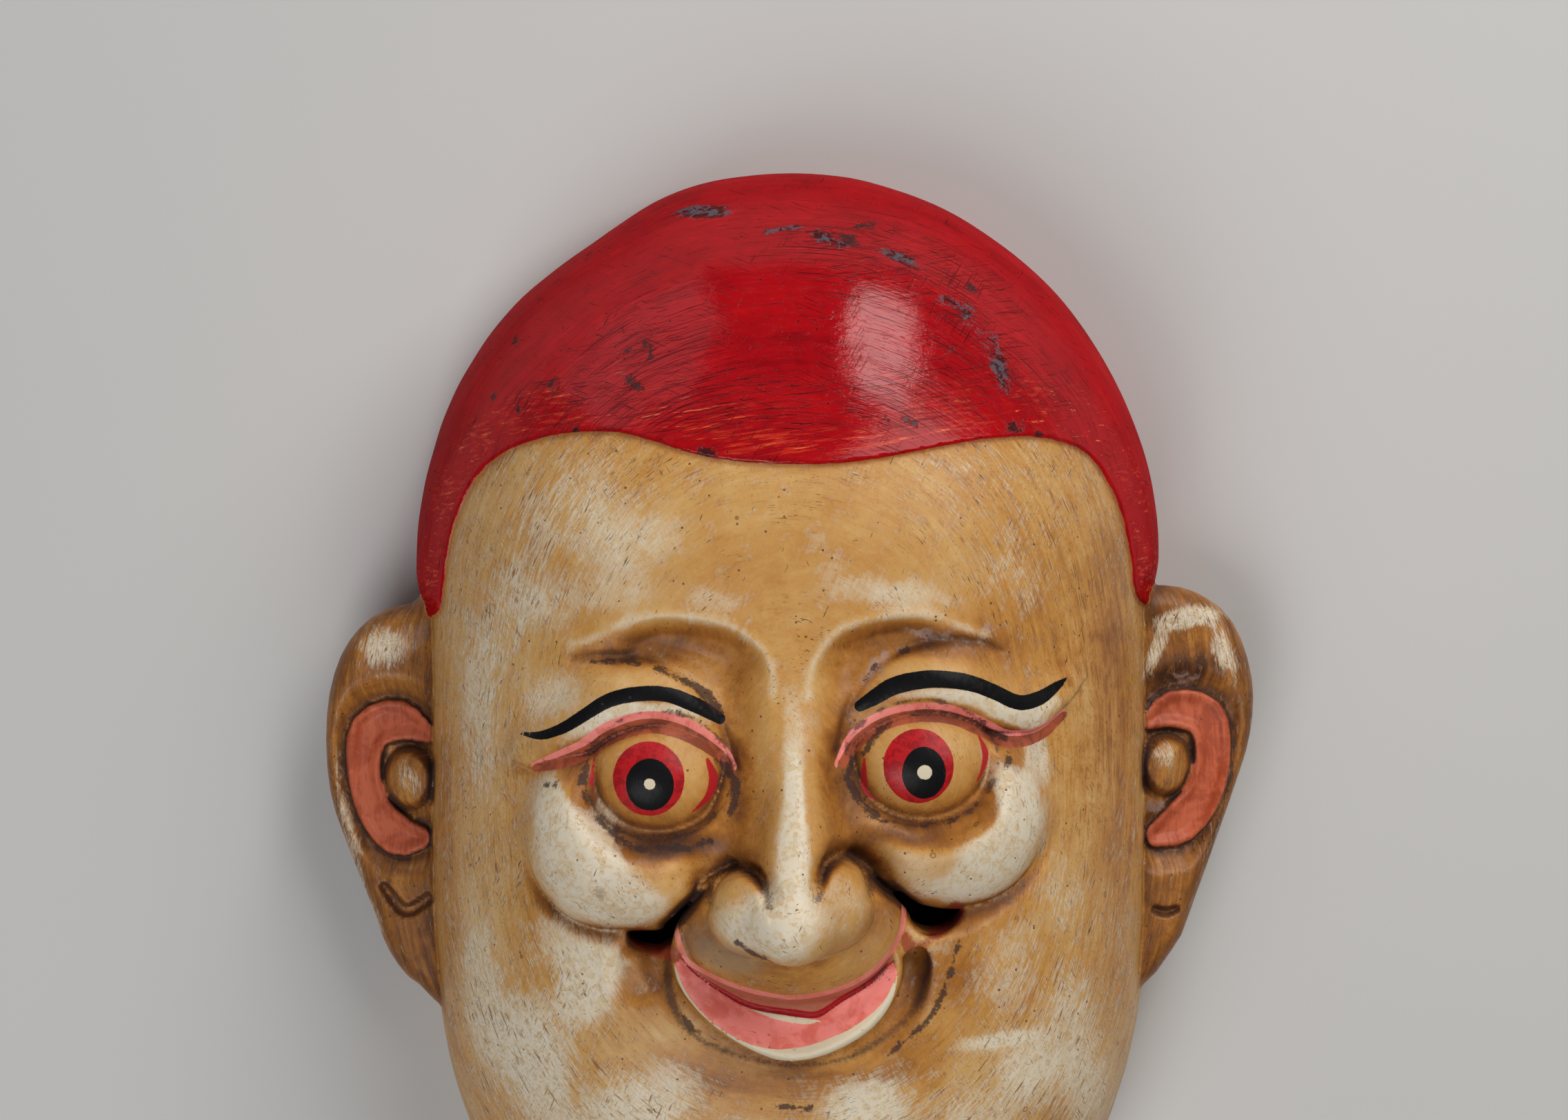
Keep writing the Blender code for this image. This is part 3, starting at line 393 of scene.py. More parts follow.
def egg_ratio(x, y, z, side_wall, front_wall):
    """How far out a point is, as a share of the way from the head's axis to its surface."""
    up = np.maximum(y - CROWN_START, 0) / (CROWN - side_wall - CROWN_START)
    down = np.maximum(JAW_START - y, 0) / (JAW_START - CHIN_END - side_wall)
    fullness = 1 + 0.03 * bump(y - 62, 45) - 0.03 * bump(y + 95, 40)
    across = np.abs(x - sway(y)) / (HALF_WIDTH - side_wall)
    deep = np.abs(z) / ((DEPTH - front_wall) * fullness)
    section = (across**SECTION_BEND + deep**SECTION_BEND)**(1 / SECTION_BEND)
    bend = np.where(y > 0, CROWN_BEND, JAW_BEND)
    return (section**bend + (up + down)**bend)**(1 / bend)


def egg(x, y, z, side_wall=0.0, front_wall=0.0):
    """The head block, or its hollow when walls are given."""
    steep = 1e-8
    for step in np.eye(3) * 0.5:
        ahead = egg_ratio(x + step[0], y + step[1], z + step[2], side_wall, front_wall)
        behind = egg_ratio(x - step[0], y - step[1], z - step[2], side_wall, front_wall)
        steep = steep + (ahead - behind)**2
    return (egg_ratio(x, y, z, side_wall, front_wall) - 1) / np.sqrt(steep)


def cap_side(x, y, z):
    """Distance from the edge of the cap, measured over the head and positive on the cap."""
    around = 100 * np.arctan2(x - sway(y), np.maximum(z, 0.5))
    return beside(around, y, CURVES["cap"])[0]


def hand_waver(x, y, z):
    """The gentle unevenness that a knife leaves."""
    long = np.sin(x / 9.1 + 1.3 * np.sin(y / 17 + 0.4)) * np.sin(y / 11.3 + 0.9 * np.sin(z / 13) + 1.0)
    short = np.sin(x / 4.3 + y / 7.9 + 2.1) * np.sin(y / 4.9 - z / 6.7 + 0.7 * np.sin(x / 8))
    return 0.22 * long + 0.07 * short


class Carving:
    """The wood left at a set of points, changed one feature at a time, each only where it reaches."""

    def __init__(self, x, y, z):
        self.x, self.y, self.z = x, y, z
        self.wood = egg(x, y, z)

    def reach(self, low, high, margin=8.0):
        near = np.abs(self.wood) < 60
        for value, lo, hi in zip((self.x, self.y, self.z), low, high):
            near &= (value > lo - margin) & (value < hi + margin)
        i = np.flatnonzero(near)
        return i, self.x[i], self.y[i], self.z[i]

    def add(self, i, shape, blend):
        self.wood[i] = smooth_min(self.wood[i], shape, blend)

    def cut(self, i, shape, blend):
        self.wood[i] = smooth_max(self.wood[i], -shape, blend)

    def around(self, centre, radii, margin=8.0):
        return self.reach(np.subtract(centre, radii), np.add(centre, radii), margin)

    def along(self, line):
        thick = line[:, 3].max()
        return self.reach(line[:, :3].min(0) - thick, line[:, :3].max(0) + thick)


def crease(c, line, depths, inner, outer, sign):
    """A soft groove along a line of places and depths, with a slope of its own on either side."""
    i, x, y, z = c.reach((*line[:, :2].min(0), depths[0]), (*line[:, :2].max(0), depths[1]))
    away, along = beside(x, y, line[:, :2])
    deep = np.interp(along, np.linspace(0, 1, len(line)), line[:, 2])
    wide = np.where(away * sign > 0, outer, inner)
    c.wood[i] += deep * bump(away, wide) * ramp(z, depths[0] - 6, depths[0])


def carve_cap(c):
    """The cap's edge is a thin crisp step, from which it swells; the crown is flatter at left."""
    i, x, y, z = c.reach((-125, 20, -20), (125, 180, 140), 0)
    turn = np.abs(np.arctan2(x, np.maximum(z, 0.5)))
    away_from_brow = ramp(np.maximum(turn / 1.05, (y - 78) / 60), 0.5, 1)
    inside = cap_side(x, y, z)
    swell = (CAP_RAISE - CAP_RAISE_BROW) * away_from_brow * ramp(inside, -1, 15)
    c.wood[i] -= CAP_RAISE_BROW * ramp(inside, -0.7, 1.0) + swell
    c.wood[i] += 2.6 * bump(y - 147, 18) * ramp(-x, 15, 55)


def carve_socket(c, name):
    """A hollow under the brow, crisp along its arch and soft at the nose and the temple."""
    ring = CURVES[name, "socket"]
    i, x, y, z = c.reach((*ring.min(0), 60), (*ring.max(0), 130))
    inside = -outline(x, y, ring)
    temple = ramp(np.abs(x), 34, 62)
    slope = 5.5 + 10 * ramp(26 - y, 0, 14) + 15 * temple
    c.wood[i] += 3.8 * ramp(inside, 0, slope) + 5.2 * ramp(inside, 0, slope + 8)
    c.wood[i] -= 0.4 * bump(inside + 0.4, 1.5) * ramp(y, 12, 22) * (1 - temple)


def carve_corner_hole(c, side, near, far):
    line = np.array(side["corner_hole"][near:far], float)
    i, x, y, z = c.along(line)
    c.cut(i, bar(x, y, z, line), 2)


def carve_smile(c):
    i, x, y, z = c.along(CURVES["smile"])
    c.cut(i, bar(x, y, z, CURVES["smile"]), 3)


def carve_cheek(c, side):
    """The surface is let down along the cheek's foot, so that the ball of the cheek overhangs it."""
    (cx, cy, cz), radii = side["cheek"]
    i, x, y, z = c.around((cx, cy, cz), radii, 14)
    beyond = (np.hypot((x - cx) / radii[0], (y - cy) / radii[1]) - 1) * radii[1]
    inner = ramp(-np.abs(x), -62, -40)
    c.wood[i] += (2.2 + 3.0 * inner) * ramp(-beyond, -5 - 4 * inner, 1) * ramp(-y, 24, 44)
    ball = smooth_min(ellipsoid(x, y, z, *side["cheek"]), ellipsoid(x, y, z, *side["cheek_foot"]), 6)
    c.add(i, ball, 0.8 + 6 * ramp(y, -42, -22))


def carve_nose(c):
    """One broad bulb, its wings set off above by curled creases."""
    i, x, y, z = c.reach((-32, -66, 70), (32, 36, 152))
    shape = smooth_min(bar(x, y, z, CURVES["nose"]), bar(x, y, z, CURVES["root"]), 10)
    shape = smooth_min(shape, ellipsoid(x, y, z, *NOSE_BASE), 9)
    for side in SIDES.values():
        shape = smooth_min(shape, ellipsoid(x, y, z, *side["wing"]), 7)
    for side in SIDES.values():
        shape = smooth_max(shape, -ellipsoid(x, y, z, *side["nostril"]), 1.2)
    c.add(i, shape, 1.5 + 9 * ramp(y, -34, -10))
    for name, side in SIDES.items():
        crease(c, CURVES[name, "curl"], (92, 140), 1.6, 3.2, -side["sign"])


def carve_mouth(c):
    """The upper lip overhangs from its crest; the lower lip is a scoop with a raised rim."""
    i, x, y, z = c.around((-43.5, -62.5, 100), (9, 10, 20))
    c.wood[i] += 1.6 * ramp(1.15 - np.hypot((x + 43.5) / 9, (y + 62.5) / 10), 0, 0.45)
    i, x, y, z = c.around(*MUZZLE)
    past_edge, along = beside(x, y, CURVES["lip_edge"])
    corner = (2 * along - 1)**2
    underside = (-past_edge - (117.5 - 17 * corner - z) * (0.48 - 0.4 * corner)) * 0.9
    c.add(i, smooth_max(ellipsoid(x, y, z, *MUZZLE), underside, 1.0), 1.0)
    ring = CURVES["lower_lip"]
    i, x, y, z = c.reach((*ring.min(0), 60), (*ring.max(0), 122))
    off = outline(x, y, ring)
    rim = 112.5 - 0.0042 * x * x - 0.01 * np.abs(x)**1.6 + (y + 88) * 0.02
    top = rim - 6 * ramp(-off, 1.4, 11) + 0.7 * bump(off + 1.6, 1.3)
    c.add(i, smooth_max(smooth_max(off, (z - top) * 0.9, 1.6), 70 - z, 1.0), 1.0)
    crease(c, CURVES["mouth"], (92, 122), 0.9, 0.9, 1)
    for name in SIDES:
        crease(c, CURVES[name, "crevice"], (80, 118), 1.5, 1.5, 1)


def carve_eye(c, name, side):
    """A bowl with a rolled lower lid, the puffed upper lid with its ledge, and the eyeball between them."""
    (ex, ey, ez), radii = side["eyeball"]
    bowl = (ex, ey - 2.0, 117), (24.4, 21.8, 18.5)
    i, x, y, z = c.around(*bowl)
    c.cut(i, ellipsoid(x, y, z, *bowl), 5)
    line = CURVES[name, "lower_lid"]
    i, x, y, z = c.along(line)
    c.add(i, bar(x, y, z, line), 7)
    i, x, y, z = c.reach((ex - 42, ey - 22, 72), (ex + 42, ey + 36, 124))
    above = beside(x, y, CURVES[name, "lid_line"])[0] * -side["sign"]
    puff = smooth_max(bar(x, y, z, CURVES[name, "lid"]), -above, 2.2)
    c.add(i, puff, 1 + 8 * ramp(above, 2.5, 9))
    groove = stroke(x, y, CURVES[name, "brow_groove"])
    c.wood[i] += 0.8 * bump(groove - 1, 1.5) * ramp(z, 80, 88)
    i, x, y, z = c.around((ex, ey, ez), radii)
    c.add(i, ellipsoid(x, y, z, (ex, ey, ez), radii), 0.8 + 1.4 * ramp(ey - y, 2, 12))


def carved_head(x, y, z):
    c = Carving(x, y, z)
    c.wood += hand_waver(x, y, z)
    carve_cap(c)
    for name in SIDES:
        carve_socket(c, name)
    carve_smile(c)
    for side in SIDES.values():
        carve_corner_hole(c, side, 0, 3)
        carve_cheek(c, side)
    carve_nose(c)
    carve_mouth(c)
    for name, side in SIDES.items():
        carve_eye(c, name, side)
    i, x1, y1, z1 = c.around(*CHIN_BALL, 16)
    c.add(i, ellipsoid(x1, y1, z1, *CHIN_BALL), 14)
    return c.wood


def carved_hollow(x, y, z):
    """The inside: the head block less its walls, in shallow gouge cuts, with room for the wearer's nose."""
    room = egg(x, y, z, SIDE_WALL, FRONT_WALL)
    room = smooth_min(room, ellipsoid(x, y, z, *NOSE_ROOM), 10)
    lane = x * 0.55 + 6 * np.sin(y / 31)
    gouge = np.abs(np.sin(lane / 3.1 + 0.6 * np.sin(y / 9))) * (0.7 + 0.3 * np.sin(y / 8.3 + x / 11))
    return room + 0.55 * (0.6 - gouge)


def ear_front(name, out, y, inside):
    """Height of the ear's front: broad helix, its slope down to the crescent, tragus and lobe."""
    crescent = bar(out, y, np.zeros(out.shape), CURVES[name, "crescent"])
    tragus = SIDES[name]["tragus"]
    disc = np.hypot((out - tragus[0]) / 8.0, (y - tragus[1]) / 9.2)
    front = EAR_FRONT - 0.2 * (out - 103) + 1.6 * bump(inside - 6.0, 6.0) * ramp(y, -20, 20)
    front = front - 4.6 * ramp(8.5 - crescent, 0, 8.5) * ramp(inside, 0.5, 6.5)
    front = front + 2.2 * ramp(-crescent, -0.9, 0.5) - 1.3 * ramp(-crescent, 1.2, 4.0)
    front = front - 2.4 * ramp(stroke(out, y, CURVES[name, "lobe_crease"]), -1.0, 0.8)
    return front + 3.6 * ramp(1 - disc, -0.06, 0.3) - 1.2 * bump((disc - 1.06) * 8, 1.1)


def ear_shape(name, x, y, z):
    out = np.abs(x)
    off = outline(out, y, CURVES[name, "ear"]) - 1.8
    front = ear_front(name, out, y, -off)
    slab = smooth_max((z - front) * 0.85, EAR_BACK - z, 6.0)
    return smooth_max(off, slab, 6.0)


def outer_wood(x, y, z):
    """Head and ears before they are hollowed."""
    wood = carved_head(x, y, z)
    for name, side in SIDES.items():
        i = np.flatnonzero((side["sign"] * x > 88) & (y > -84) & (y < 52) & (z < 50))
        wood[i] = smooth_min(wood[i], ear_shape(name, x[i], y[i], z[i]), 1.5)
    return wood


def mask_wood(x, y, z):
    wood = outer_wood(x, y, z)
    for side in SIDES.values():
        line = np.array(side["corner_hole"], float)
        tunnel = smooth_max(bar(x, y, z, line) + 0.6, z - 84, 2)
        wood = smooth_max(wood, -tunnel, 1.5)
    wood = smooth_max(wood, -carved_hollow(x, y, z), 2.5)
    return np.maximum(wood, -z)


def sampled(shape, low, high, step, block=6):
    """The shape's distances on a grid: worked out near its surface, and only their sign elsewhere."""
    count = np.ceil((high - low) / (step * block)).astype(int)
    centres = [low[k] + (np.arange(count[k]) + 0.5) * step * block for k in range(3)]
    x, y, z = (axis.ravel() for axis in np.meshgrid(*centres, indexing="ij"))
    rough = shape(x, y, z).reshape(count)
    grid = np.where(rough > 0, 9.0, -9.0).astype(np.float32)
    for axis in range(3):
        grid = grid.repeat(block, axis)
    near = np.argwhere(np.abs(rough) < step * block * 1.25)
    within = np.stack(np.meshgrid(*[np.arange(block)] * 3, indexing="ij"), -1).reshape(-1, 3)
    cells = (near[:, None] * block + within).reshape(-1, 3)
    for part in np.array_split(cells, len(cells) // 300000 + 1):
        spots = low + (part + 0.5) * step
        grid[tuple(part.T)] = shape(*spots.T)
    return grid, low + 0.5 * step


def surface_net(grid, origin, step):
    """Points and quads of the surface where the grid changes sign, facing out."""
    inside = grid < 0
    nx, ny, nz = (n - 1 for n in grid.shape)
    corners = list(itertools.product((0, 1), repeat=3))
    total = np.zeros((nx, ny, nz), np.uint8)
    for a, b, c in corners:
        total += inside[a:a + nx, b:b + ny, c:c + nz]
    cells = np.argwhere((total > 0) & (total < 8))
    number = np.full(total.shape, -1, np.int32)
    number[tuple(cells.T)] = np.arange(len(cells))
    place = np.zeros((len(cells), 3))
    hits = np.zeros(len(cells))
    unit = np.eye(3, dtype=int)
    for axis in range(3):
        for corner in corners:
            if corner[axis]:
                continue
            near = cells + corner
            a = grid[tuple(near.T)].astype(float)
            b = grid[tuple((near + unit[axis]).T)].astype(float)
            cross = np.flatnonzero((a < 0) != (b < 0))
            share = a[cross] / (a[cross] - b[cross])
            place[cross] += np.array(corner) + share[:, None] * unit[axis]
            hits[cross] += 1
    points = origin + (cells + place / hits[:, None]) * step
    quads = []
    for axis in range(3):
        u, v = unit[(axis + 1) % 3], unit[(axis + 2) % 3]
        here = np.delete(inside, -1, axis)
        edges = np.argwhere(here != np.delete(inside, 0, axis))
        edges = edges[((edges - u - v >= 0) & (edges < total.shape)).all(1)]
        out = here[tuple(edges.T)]
        ring = [number[tuple(spot.T)] for spot in (edges, edges - u, edges - u - v, edges - v)]
        quad = np.column_stack(ring)
        quads.append(np.where(out[:, None], quad, quad[:, ::-1]))
    return points, np.vstack(quads)


def slope_of(shape, points, reach=0.12):
    """The shape's distances at the points and which way they grow."""
    here = shape(*points.T)
    ahead = [shape(*(points + step).T) for step in np.eye(3) * reach]
    behind = [shape(*(points - step).T) for step in np.eye(3) * reach]
    return here, (np.array(ahead) - np.array(behind)).T / (2 * reach)


def detail_share(x, y, z):
    """Where paint lines and crisp carving need small triangles, from 0 to 1."""
    face = ramp(z, 62, 74) * ramp(-np.abs(x), -88, -82) * ramp(y, -102, -94) * ramp(-y, -46, -38)
    edge = bump(cap_side(x, y, z), 4.0) * ramp(z, 2, 8)
    ears = ramp(np.abs(x), 100, 104) * ramp(z, 26, 29)
    return np.maximum(np.maximum(face, edge), ears)


def mesh_object(name, points, faces):
    mesh = bpy.data.meshes.new(name)
    mesh.from_pydata(points.tolist(), [], faces.tolist())
    piece = bpy.data.objects.new(name, mesh)
    bpy.context.scene.collection.objects.link(piece)
    return piece


def thinned(piece, triangles, keep):
    """The piece's mesh brought down to so many triangles, finer where keep is near 1."""
    group = piece.vertex_groups.new(name="keep")
    levels = np.round(1 - 0.9 * keep, 1)
    for level in np.unique(levels):
        group.add(np.flatnonzero(levels == level).tolist(), float(level), "REPLACE")
    step = piece.modifiers.new("thin", "DECIMATE")
    step.vertex_group = group.name
    step.vertex_group_factor = 0.004
    step.ratio = triangles / (2 * len(piece.data.polygons))
    step.use_collapse_triangulate = True
    done = bpy.data.meshes.new_from_object(piece.evaluated_get(bpy.context.evaluated_depsgraph_get()))
    old = piece.data
    piece.modifiers.clear()
    piece.data = done
    bpy.data.meshes.remove(old)
    piece.vertex_groups.clear()
    return piece


def points_of(mesh):
    flat = np.empty(len(mesh.vertices) * 3)
    mesh.vertices.foreach_get("co", flat)
    return flat.reshape(-1, 3)


def ear_wood(x, y, z):
    """1 on the ears and 0 on the head."""
    ear = np.zeros(x.shape)
    for name, side in SIDES.items():
        i = np.flatnonzero((side["sign"] * x > 94) & (y > -84) & (y < 52) & (z < 50))
        ear[i] = ramp(carved_head(x[i], y[i], z[i]) - ear_shape(name, x[i], y[i], z[i]), -0.2, 0.3)
    return ear


def lid_marks(x, y, front):
    """The bright pink band of the upper lids, and below it a darker band painted as the shade on the
    underside of their ledge.
    """
    bands = []
    for name, side in SIDES.items():
        line = CURVES[name, "pink_band"]
        above, along = beside(x, y, line[:, :2])
        above = above * -side["sign"]
        wide = np.interp(along, np.linspace(0, 1, len(line)), line[:, 2])
        end = stroke(x, y, line * (1, 1, 0) + (0, 0, 4.9))
        bright = np.minimum(np.minimum(4.4 * wide - above, above - 2.3 * wide), end)
        # Painted shade: this lower band, on the ledge's underside, is coloured dark as its shadow.
        dark = np.minimum(np.minimum(2.3 * wide - above, above + 1.4), end)
        bands.append((bright, dark))
    (left_bright, left_shade_band), (right_bright, right_shade_band) = bands
    return {"lid_bright": front + np.maximum(left_bright, right_bright),
            "lid_dark": front + np.maximum(left_shade_band, right_shade_band)}


def mouth_marks(x, y, front):
    mouth = CURVES["mouth"]
    upper = np.vstack([curve(LIP_CREST), mouth[::-1, :2], curve(LIP_CREST)[:1]])
    lower = np.vstack([mouth[:, :2], curve(LIP_PINK)[::-1], mouth[:1, :2]])
    rim = np.vstack([curve(LIP_OUTER), curve(LIP_PINK)[::-1], curve(LIP_OUTER)[:1]])
    # Painted shade: the upper lip below its crest is coloured a darker red-brown as the shade under its
    # overhang.
    marks = {"upper_lip": front - outline(x, y, upper)}
    marks["lower_lip"] = front - outline(x, y, lower)
    marks["lip_rim"] = front - outline(x, y, rim)
    marks["lip_crest"] = front + 0.75 - np.abs(beside(x, y, curve(LIP_CREST))[0] + 0.35)
    marks["mouth_line"] = front + stroke(x, y, mouth)
    marks["teeth"] = front + stroke(x, y, curve(TEETH))
    return marks


def eye_marks(x, y, front):
    marks = {}
    for key in ("lash", "vein_in", "vein_out"):
        marks[key] = front + np.maximum(*(stroke(x, y, CURVES[name, key]) for name in SIDES))
    marks["vein"] = np.maximum(marks.pop("vein_in"), marks.pop("vein_out"))
    for key in ("iris", "pupil", "spark"):
        best = np.full(x.shape, -50.0)
        for side in SIDES.values():
            (cx, cy), (rx, ry) = side[key]
            away = np.hypot((x - cx) / rx, (y - cy) / ry)
            best = np.maximum(best, (1 - away) * min(rx, ry))
        marks[key] = front + best
    round_eye = np.full(x.shape, 50.0)
    for side in SIDES.values():
        (cx, cy, _), (rx, ry, _) = side["eyeball"]
        round_eye = np.minimum(round_eye, (np.hypot((x - cx) / rx, (y - cy) / ry) - 1) * ry)
    marks["round_eye"] = round_eye - front
    return marks


def paint_marks(x, y, z):
    """What each brush painted, as millimetres inside its edge, and where it wore."""
    ear = ear_wood(x, y, z)
    front = np.where(z > 60, 0.0, -50.0)
    marks = {"cap": np.where(ear > 0.5, -20.0, cap_side(x, y, z)), "ear": ear}
    marks |= lid_marks(x, y, front) | mouth_marks(x, y, front) | eye_marks(x, y, front)
    out = np.abs(x)
    ears = [-bar(out, y, np.zeros(x.shape), CURVES[name, "crescent"]) for name in SIDES]
    marks["ink"] = front + np.maximum.reduce([stroke(x, y, curve(line)) for line in GRIME_AND_SHADOW_LINES])
    marks["crescent"] = np.where((ear > 0.5) & (z > 22), 0.0, -50.0) + np.where(x < 0, *ears)
    curls = [-np.abs(beside(x, y, CURVES[name, "curl"][:, :2])[0]) for name in SIDES]
    marks["curl"] = front + np.maximum(*curls)
    return marks


def arch_glow(x, y):
    """Paint rubbed white along the brow's two arches."""
    return np.maximum(*(bump(beside(x, y, CURVES[name, "arch"])[0], 1.5) for name in SIDES))


def store(mesh, name, values):
    kind = "FLOAT" if values.ndim == 1 else "FLOAT_VECTOR"
    layer = mesh.attributes.new(name, kind, "POINT")
    layer.data.foreach_set("value" if values.ndim == 1 else "vector", values.astype(np.float32).ravel())


def store_marks(mesh, points, normals):
    """The places of paint and wear, and how far each point lies in a crevice or on an edge."""
    x, y, z = points.T
    for name, value in paint_marks(x, y, z).items():
        store(mesh, name, value)
    for name, reach in (("cave_fine", 1.6), ("cave", 4.5), ("cave_wide", 12.0)):
        store(mesh, name, np.clip(1 - mask_wood(*(points + normals * reach).T) / reach, 0, 1.5))
    store(mesh, "edge", np.clip(1 + mask_wood(*(points - normals * 3.0).T) / 3.0, 0, 1))
    store(mesh, "depth", -outer_wood(x, y, z))
    front = ramp(z, 15, 30)
    pits = [(*pit, 1.0) for pit in PITS]
    for name, spots in (("worn", WORN), ("stained", STAINED), ("smudge", SMUDGES), ("bloom", BLOOM),
                        ("reds", REDS), ("chip", CHIPS), ("pit", pits), ("scratched", SCRATCHED)):
        store(mesh, name, blobs(x, y, spots) * front)
    store(mesh, "arch", arch_glow(x, y) * ramp(z, 80, 90))
    store(mesh, "crease", stroke(x, y, curve(SMILE_LINE)))
    groove = np.maximum(*(stroke(x, y, CURVES[name, "brow_groove"]) for name in SIDES))
    store(mesh, "brow_line", groove)
    turn, away = np.arctan2(x, y + 12), np.hypot(x, (y + 12) * 0.8)
    store(mesh, "flow", np.column_stack([away - 0.6 * z, 80 * np.cos(turn), 80 * np.sin(turn)]))
    store(mesh, "side", ramp(away, 55, 90))
    store(mesh, "rubbed", ramp(-normals[:, 2], -0.72, -0.35))


def carve_mask():
    """The carving as one mesh: a coarse net, thinned, then moved onto the true surface."""
    grid, origin = sampled(mask_wood, LOW, HIGH, VOXEL)
    points, quads = surface_net(grid, origin, VOXEL)
    piece = mesh_object("mask_carving", points, quads)
    thinned(piece, MASK_TRIANGLES, detail_share(*points.T))
    mesh = piece.data
    points = points_of(mesh)
    for _ in range(2):
        here, slope = slope_of(mask_wood, points)
        steep = np.maximum((slope * slope).sum(1), 0.25)
        points -= slope * (np.clip(here, -0.6, 0.6) / steep)[:, None]
        points[:, 2] = np.maximum(points[:, 2], 0)
    _, normals = slope_of(mask_wood, points, 0.3)
    normals /= np.linalg.norm(normals, axis=1)[:, None]
    store_marks(mesh, points, normals)
    return piece, points, normals


class Wire:
    """The output of a shader node, for arithmetic that builds more nodes."""

    def __init__(self, socket):
        self.socket = socket

    def __add__(self, other):
        return calc("ADD", self, other)

    def __sub__(self, other):
        return calc("SUBTRACT", self, other)

    def __rsub__(self, other):
        return calc("SUBTRACT", other, self)

    def __mul__(self, other):
        return calc("MULTIPLY", self, other)

    __radd__ = __add__
    __rmul__ = __mul__


class Shop:
    tree = None


def feed(socket, value):
    if isinstance(value, Wire):
        Shop.tree.links.new(value.socket, socket)
    elif isinstance(value, tuple) and len(value) == 3 and len(socket.default_value) == 4:
        socket.default_value = (*value, 1.0)
    else:
        socket.default_value = value


def node(kind, *values, **settings):
    made = Shop.tree.nodes.new("ShaderNode" + kind)
    for key, value in settings.items():
        setattr(made, key, value)
    for socket, value in zip(made.inputs, values):
        if value is not None:
            feed(socket, value)
    return made


def calc(operation, *values):
    return Wire(node("Math", *values, operation=operation).outputs[0])


def least(a, b):
    return calc("MINIMUM", a, b)


def most(a, b):
    return calc("MAXIMUM", a, b)


def step_up(value, low, high):
    """0 below low and 1 above high."""
    return Wire(node("MapRange", value, low, high, 0.0, 1.0, interpolation_type="SMOOTHSTEP").outputs[0])


def step_down(value, low, high):
    return Wire(node("MapRange", value, low, high, 1.0, 0.0, interpolation_type="SMOOTHSTEP").outputs[0])


def scaled(vector, *scale):
    return Wire(node("VectorMath", vector, scale, operation="MULTIPLY").outputs[0])


def noise(vector, size, detail=2.0, rough=0.5, twist=0.0):
    made = node("TexNoise")
    for key, value in (("Vector", vector), ("Scale", 1.0 / size), ("Detail", detail), ("Roughness", rough),
                       ("Distortion", twist)):
        feed(made.inputs[key], value)
    return Wire(made.outputs[0])


def cells(vector, size):
    """Scattered cells: distance from each one's centre in millimetres, and a chance between 0 and 1."""
    made = node("TexVoronoi")
    feed(made.inputs["Vector"], vector)
    feed(made.inputs["Scale"], 1.0 / size)
    chance = node("SeparateColor", Wire(made.outputs["Color"]))
    return Wire(made.outputs["Distance"]) * size, Wire(chance.outputs[0])


def mark(name):
    return Wire(node("Attribute", attribute_name=name).outputs["Fac"])


def mark_vector(name):
    return Wire(node("Attribute", attribute_name=name).outputs["Vector"])


def blended(under, over, share):
    made = Shop.tree.nodes.new("ShaderNodeMix")
    made.data_type = "RGBA"
    feed(made.inputs[0], share)
    feed(made.inputs[6], under)
    feed(made.inputs[7], over)
    return Wire(made.outputs[2])


def colours(value, stops):
    made = node("ValToRGB", value)
    points = made.color_ramp.elements
    while len(points) < len(stops):
        points.new(0.5)
    for point, (place, colour) in zip(points, stops):
        point.position = place
        point.color = (*colour, 1.0)
    return Wire(made.outputs[0])


def streaks(vector, across, along, detail=2.0, rough=0.6):
    return noise(scaled(vector, 1 / across, 1 / along, 1 / along), 1.0, detail, rough)


def turned(vector, angle):
    return Wire(node("VectorRotate", vector, (0.0, 0.0, 0.0), (0.0, 0.0, 1.0), angle).outputs[0])


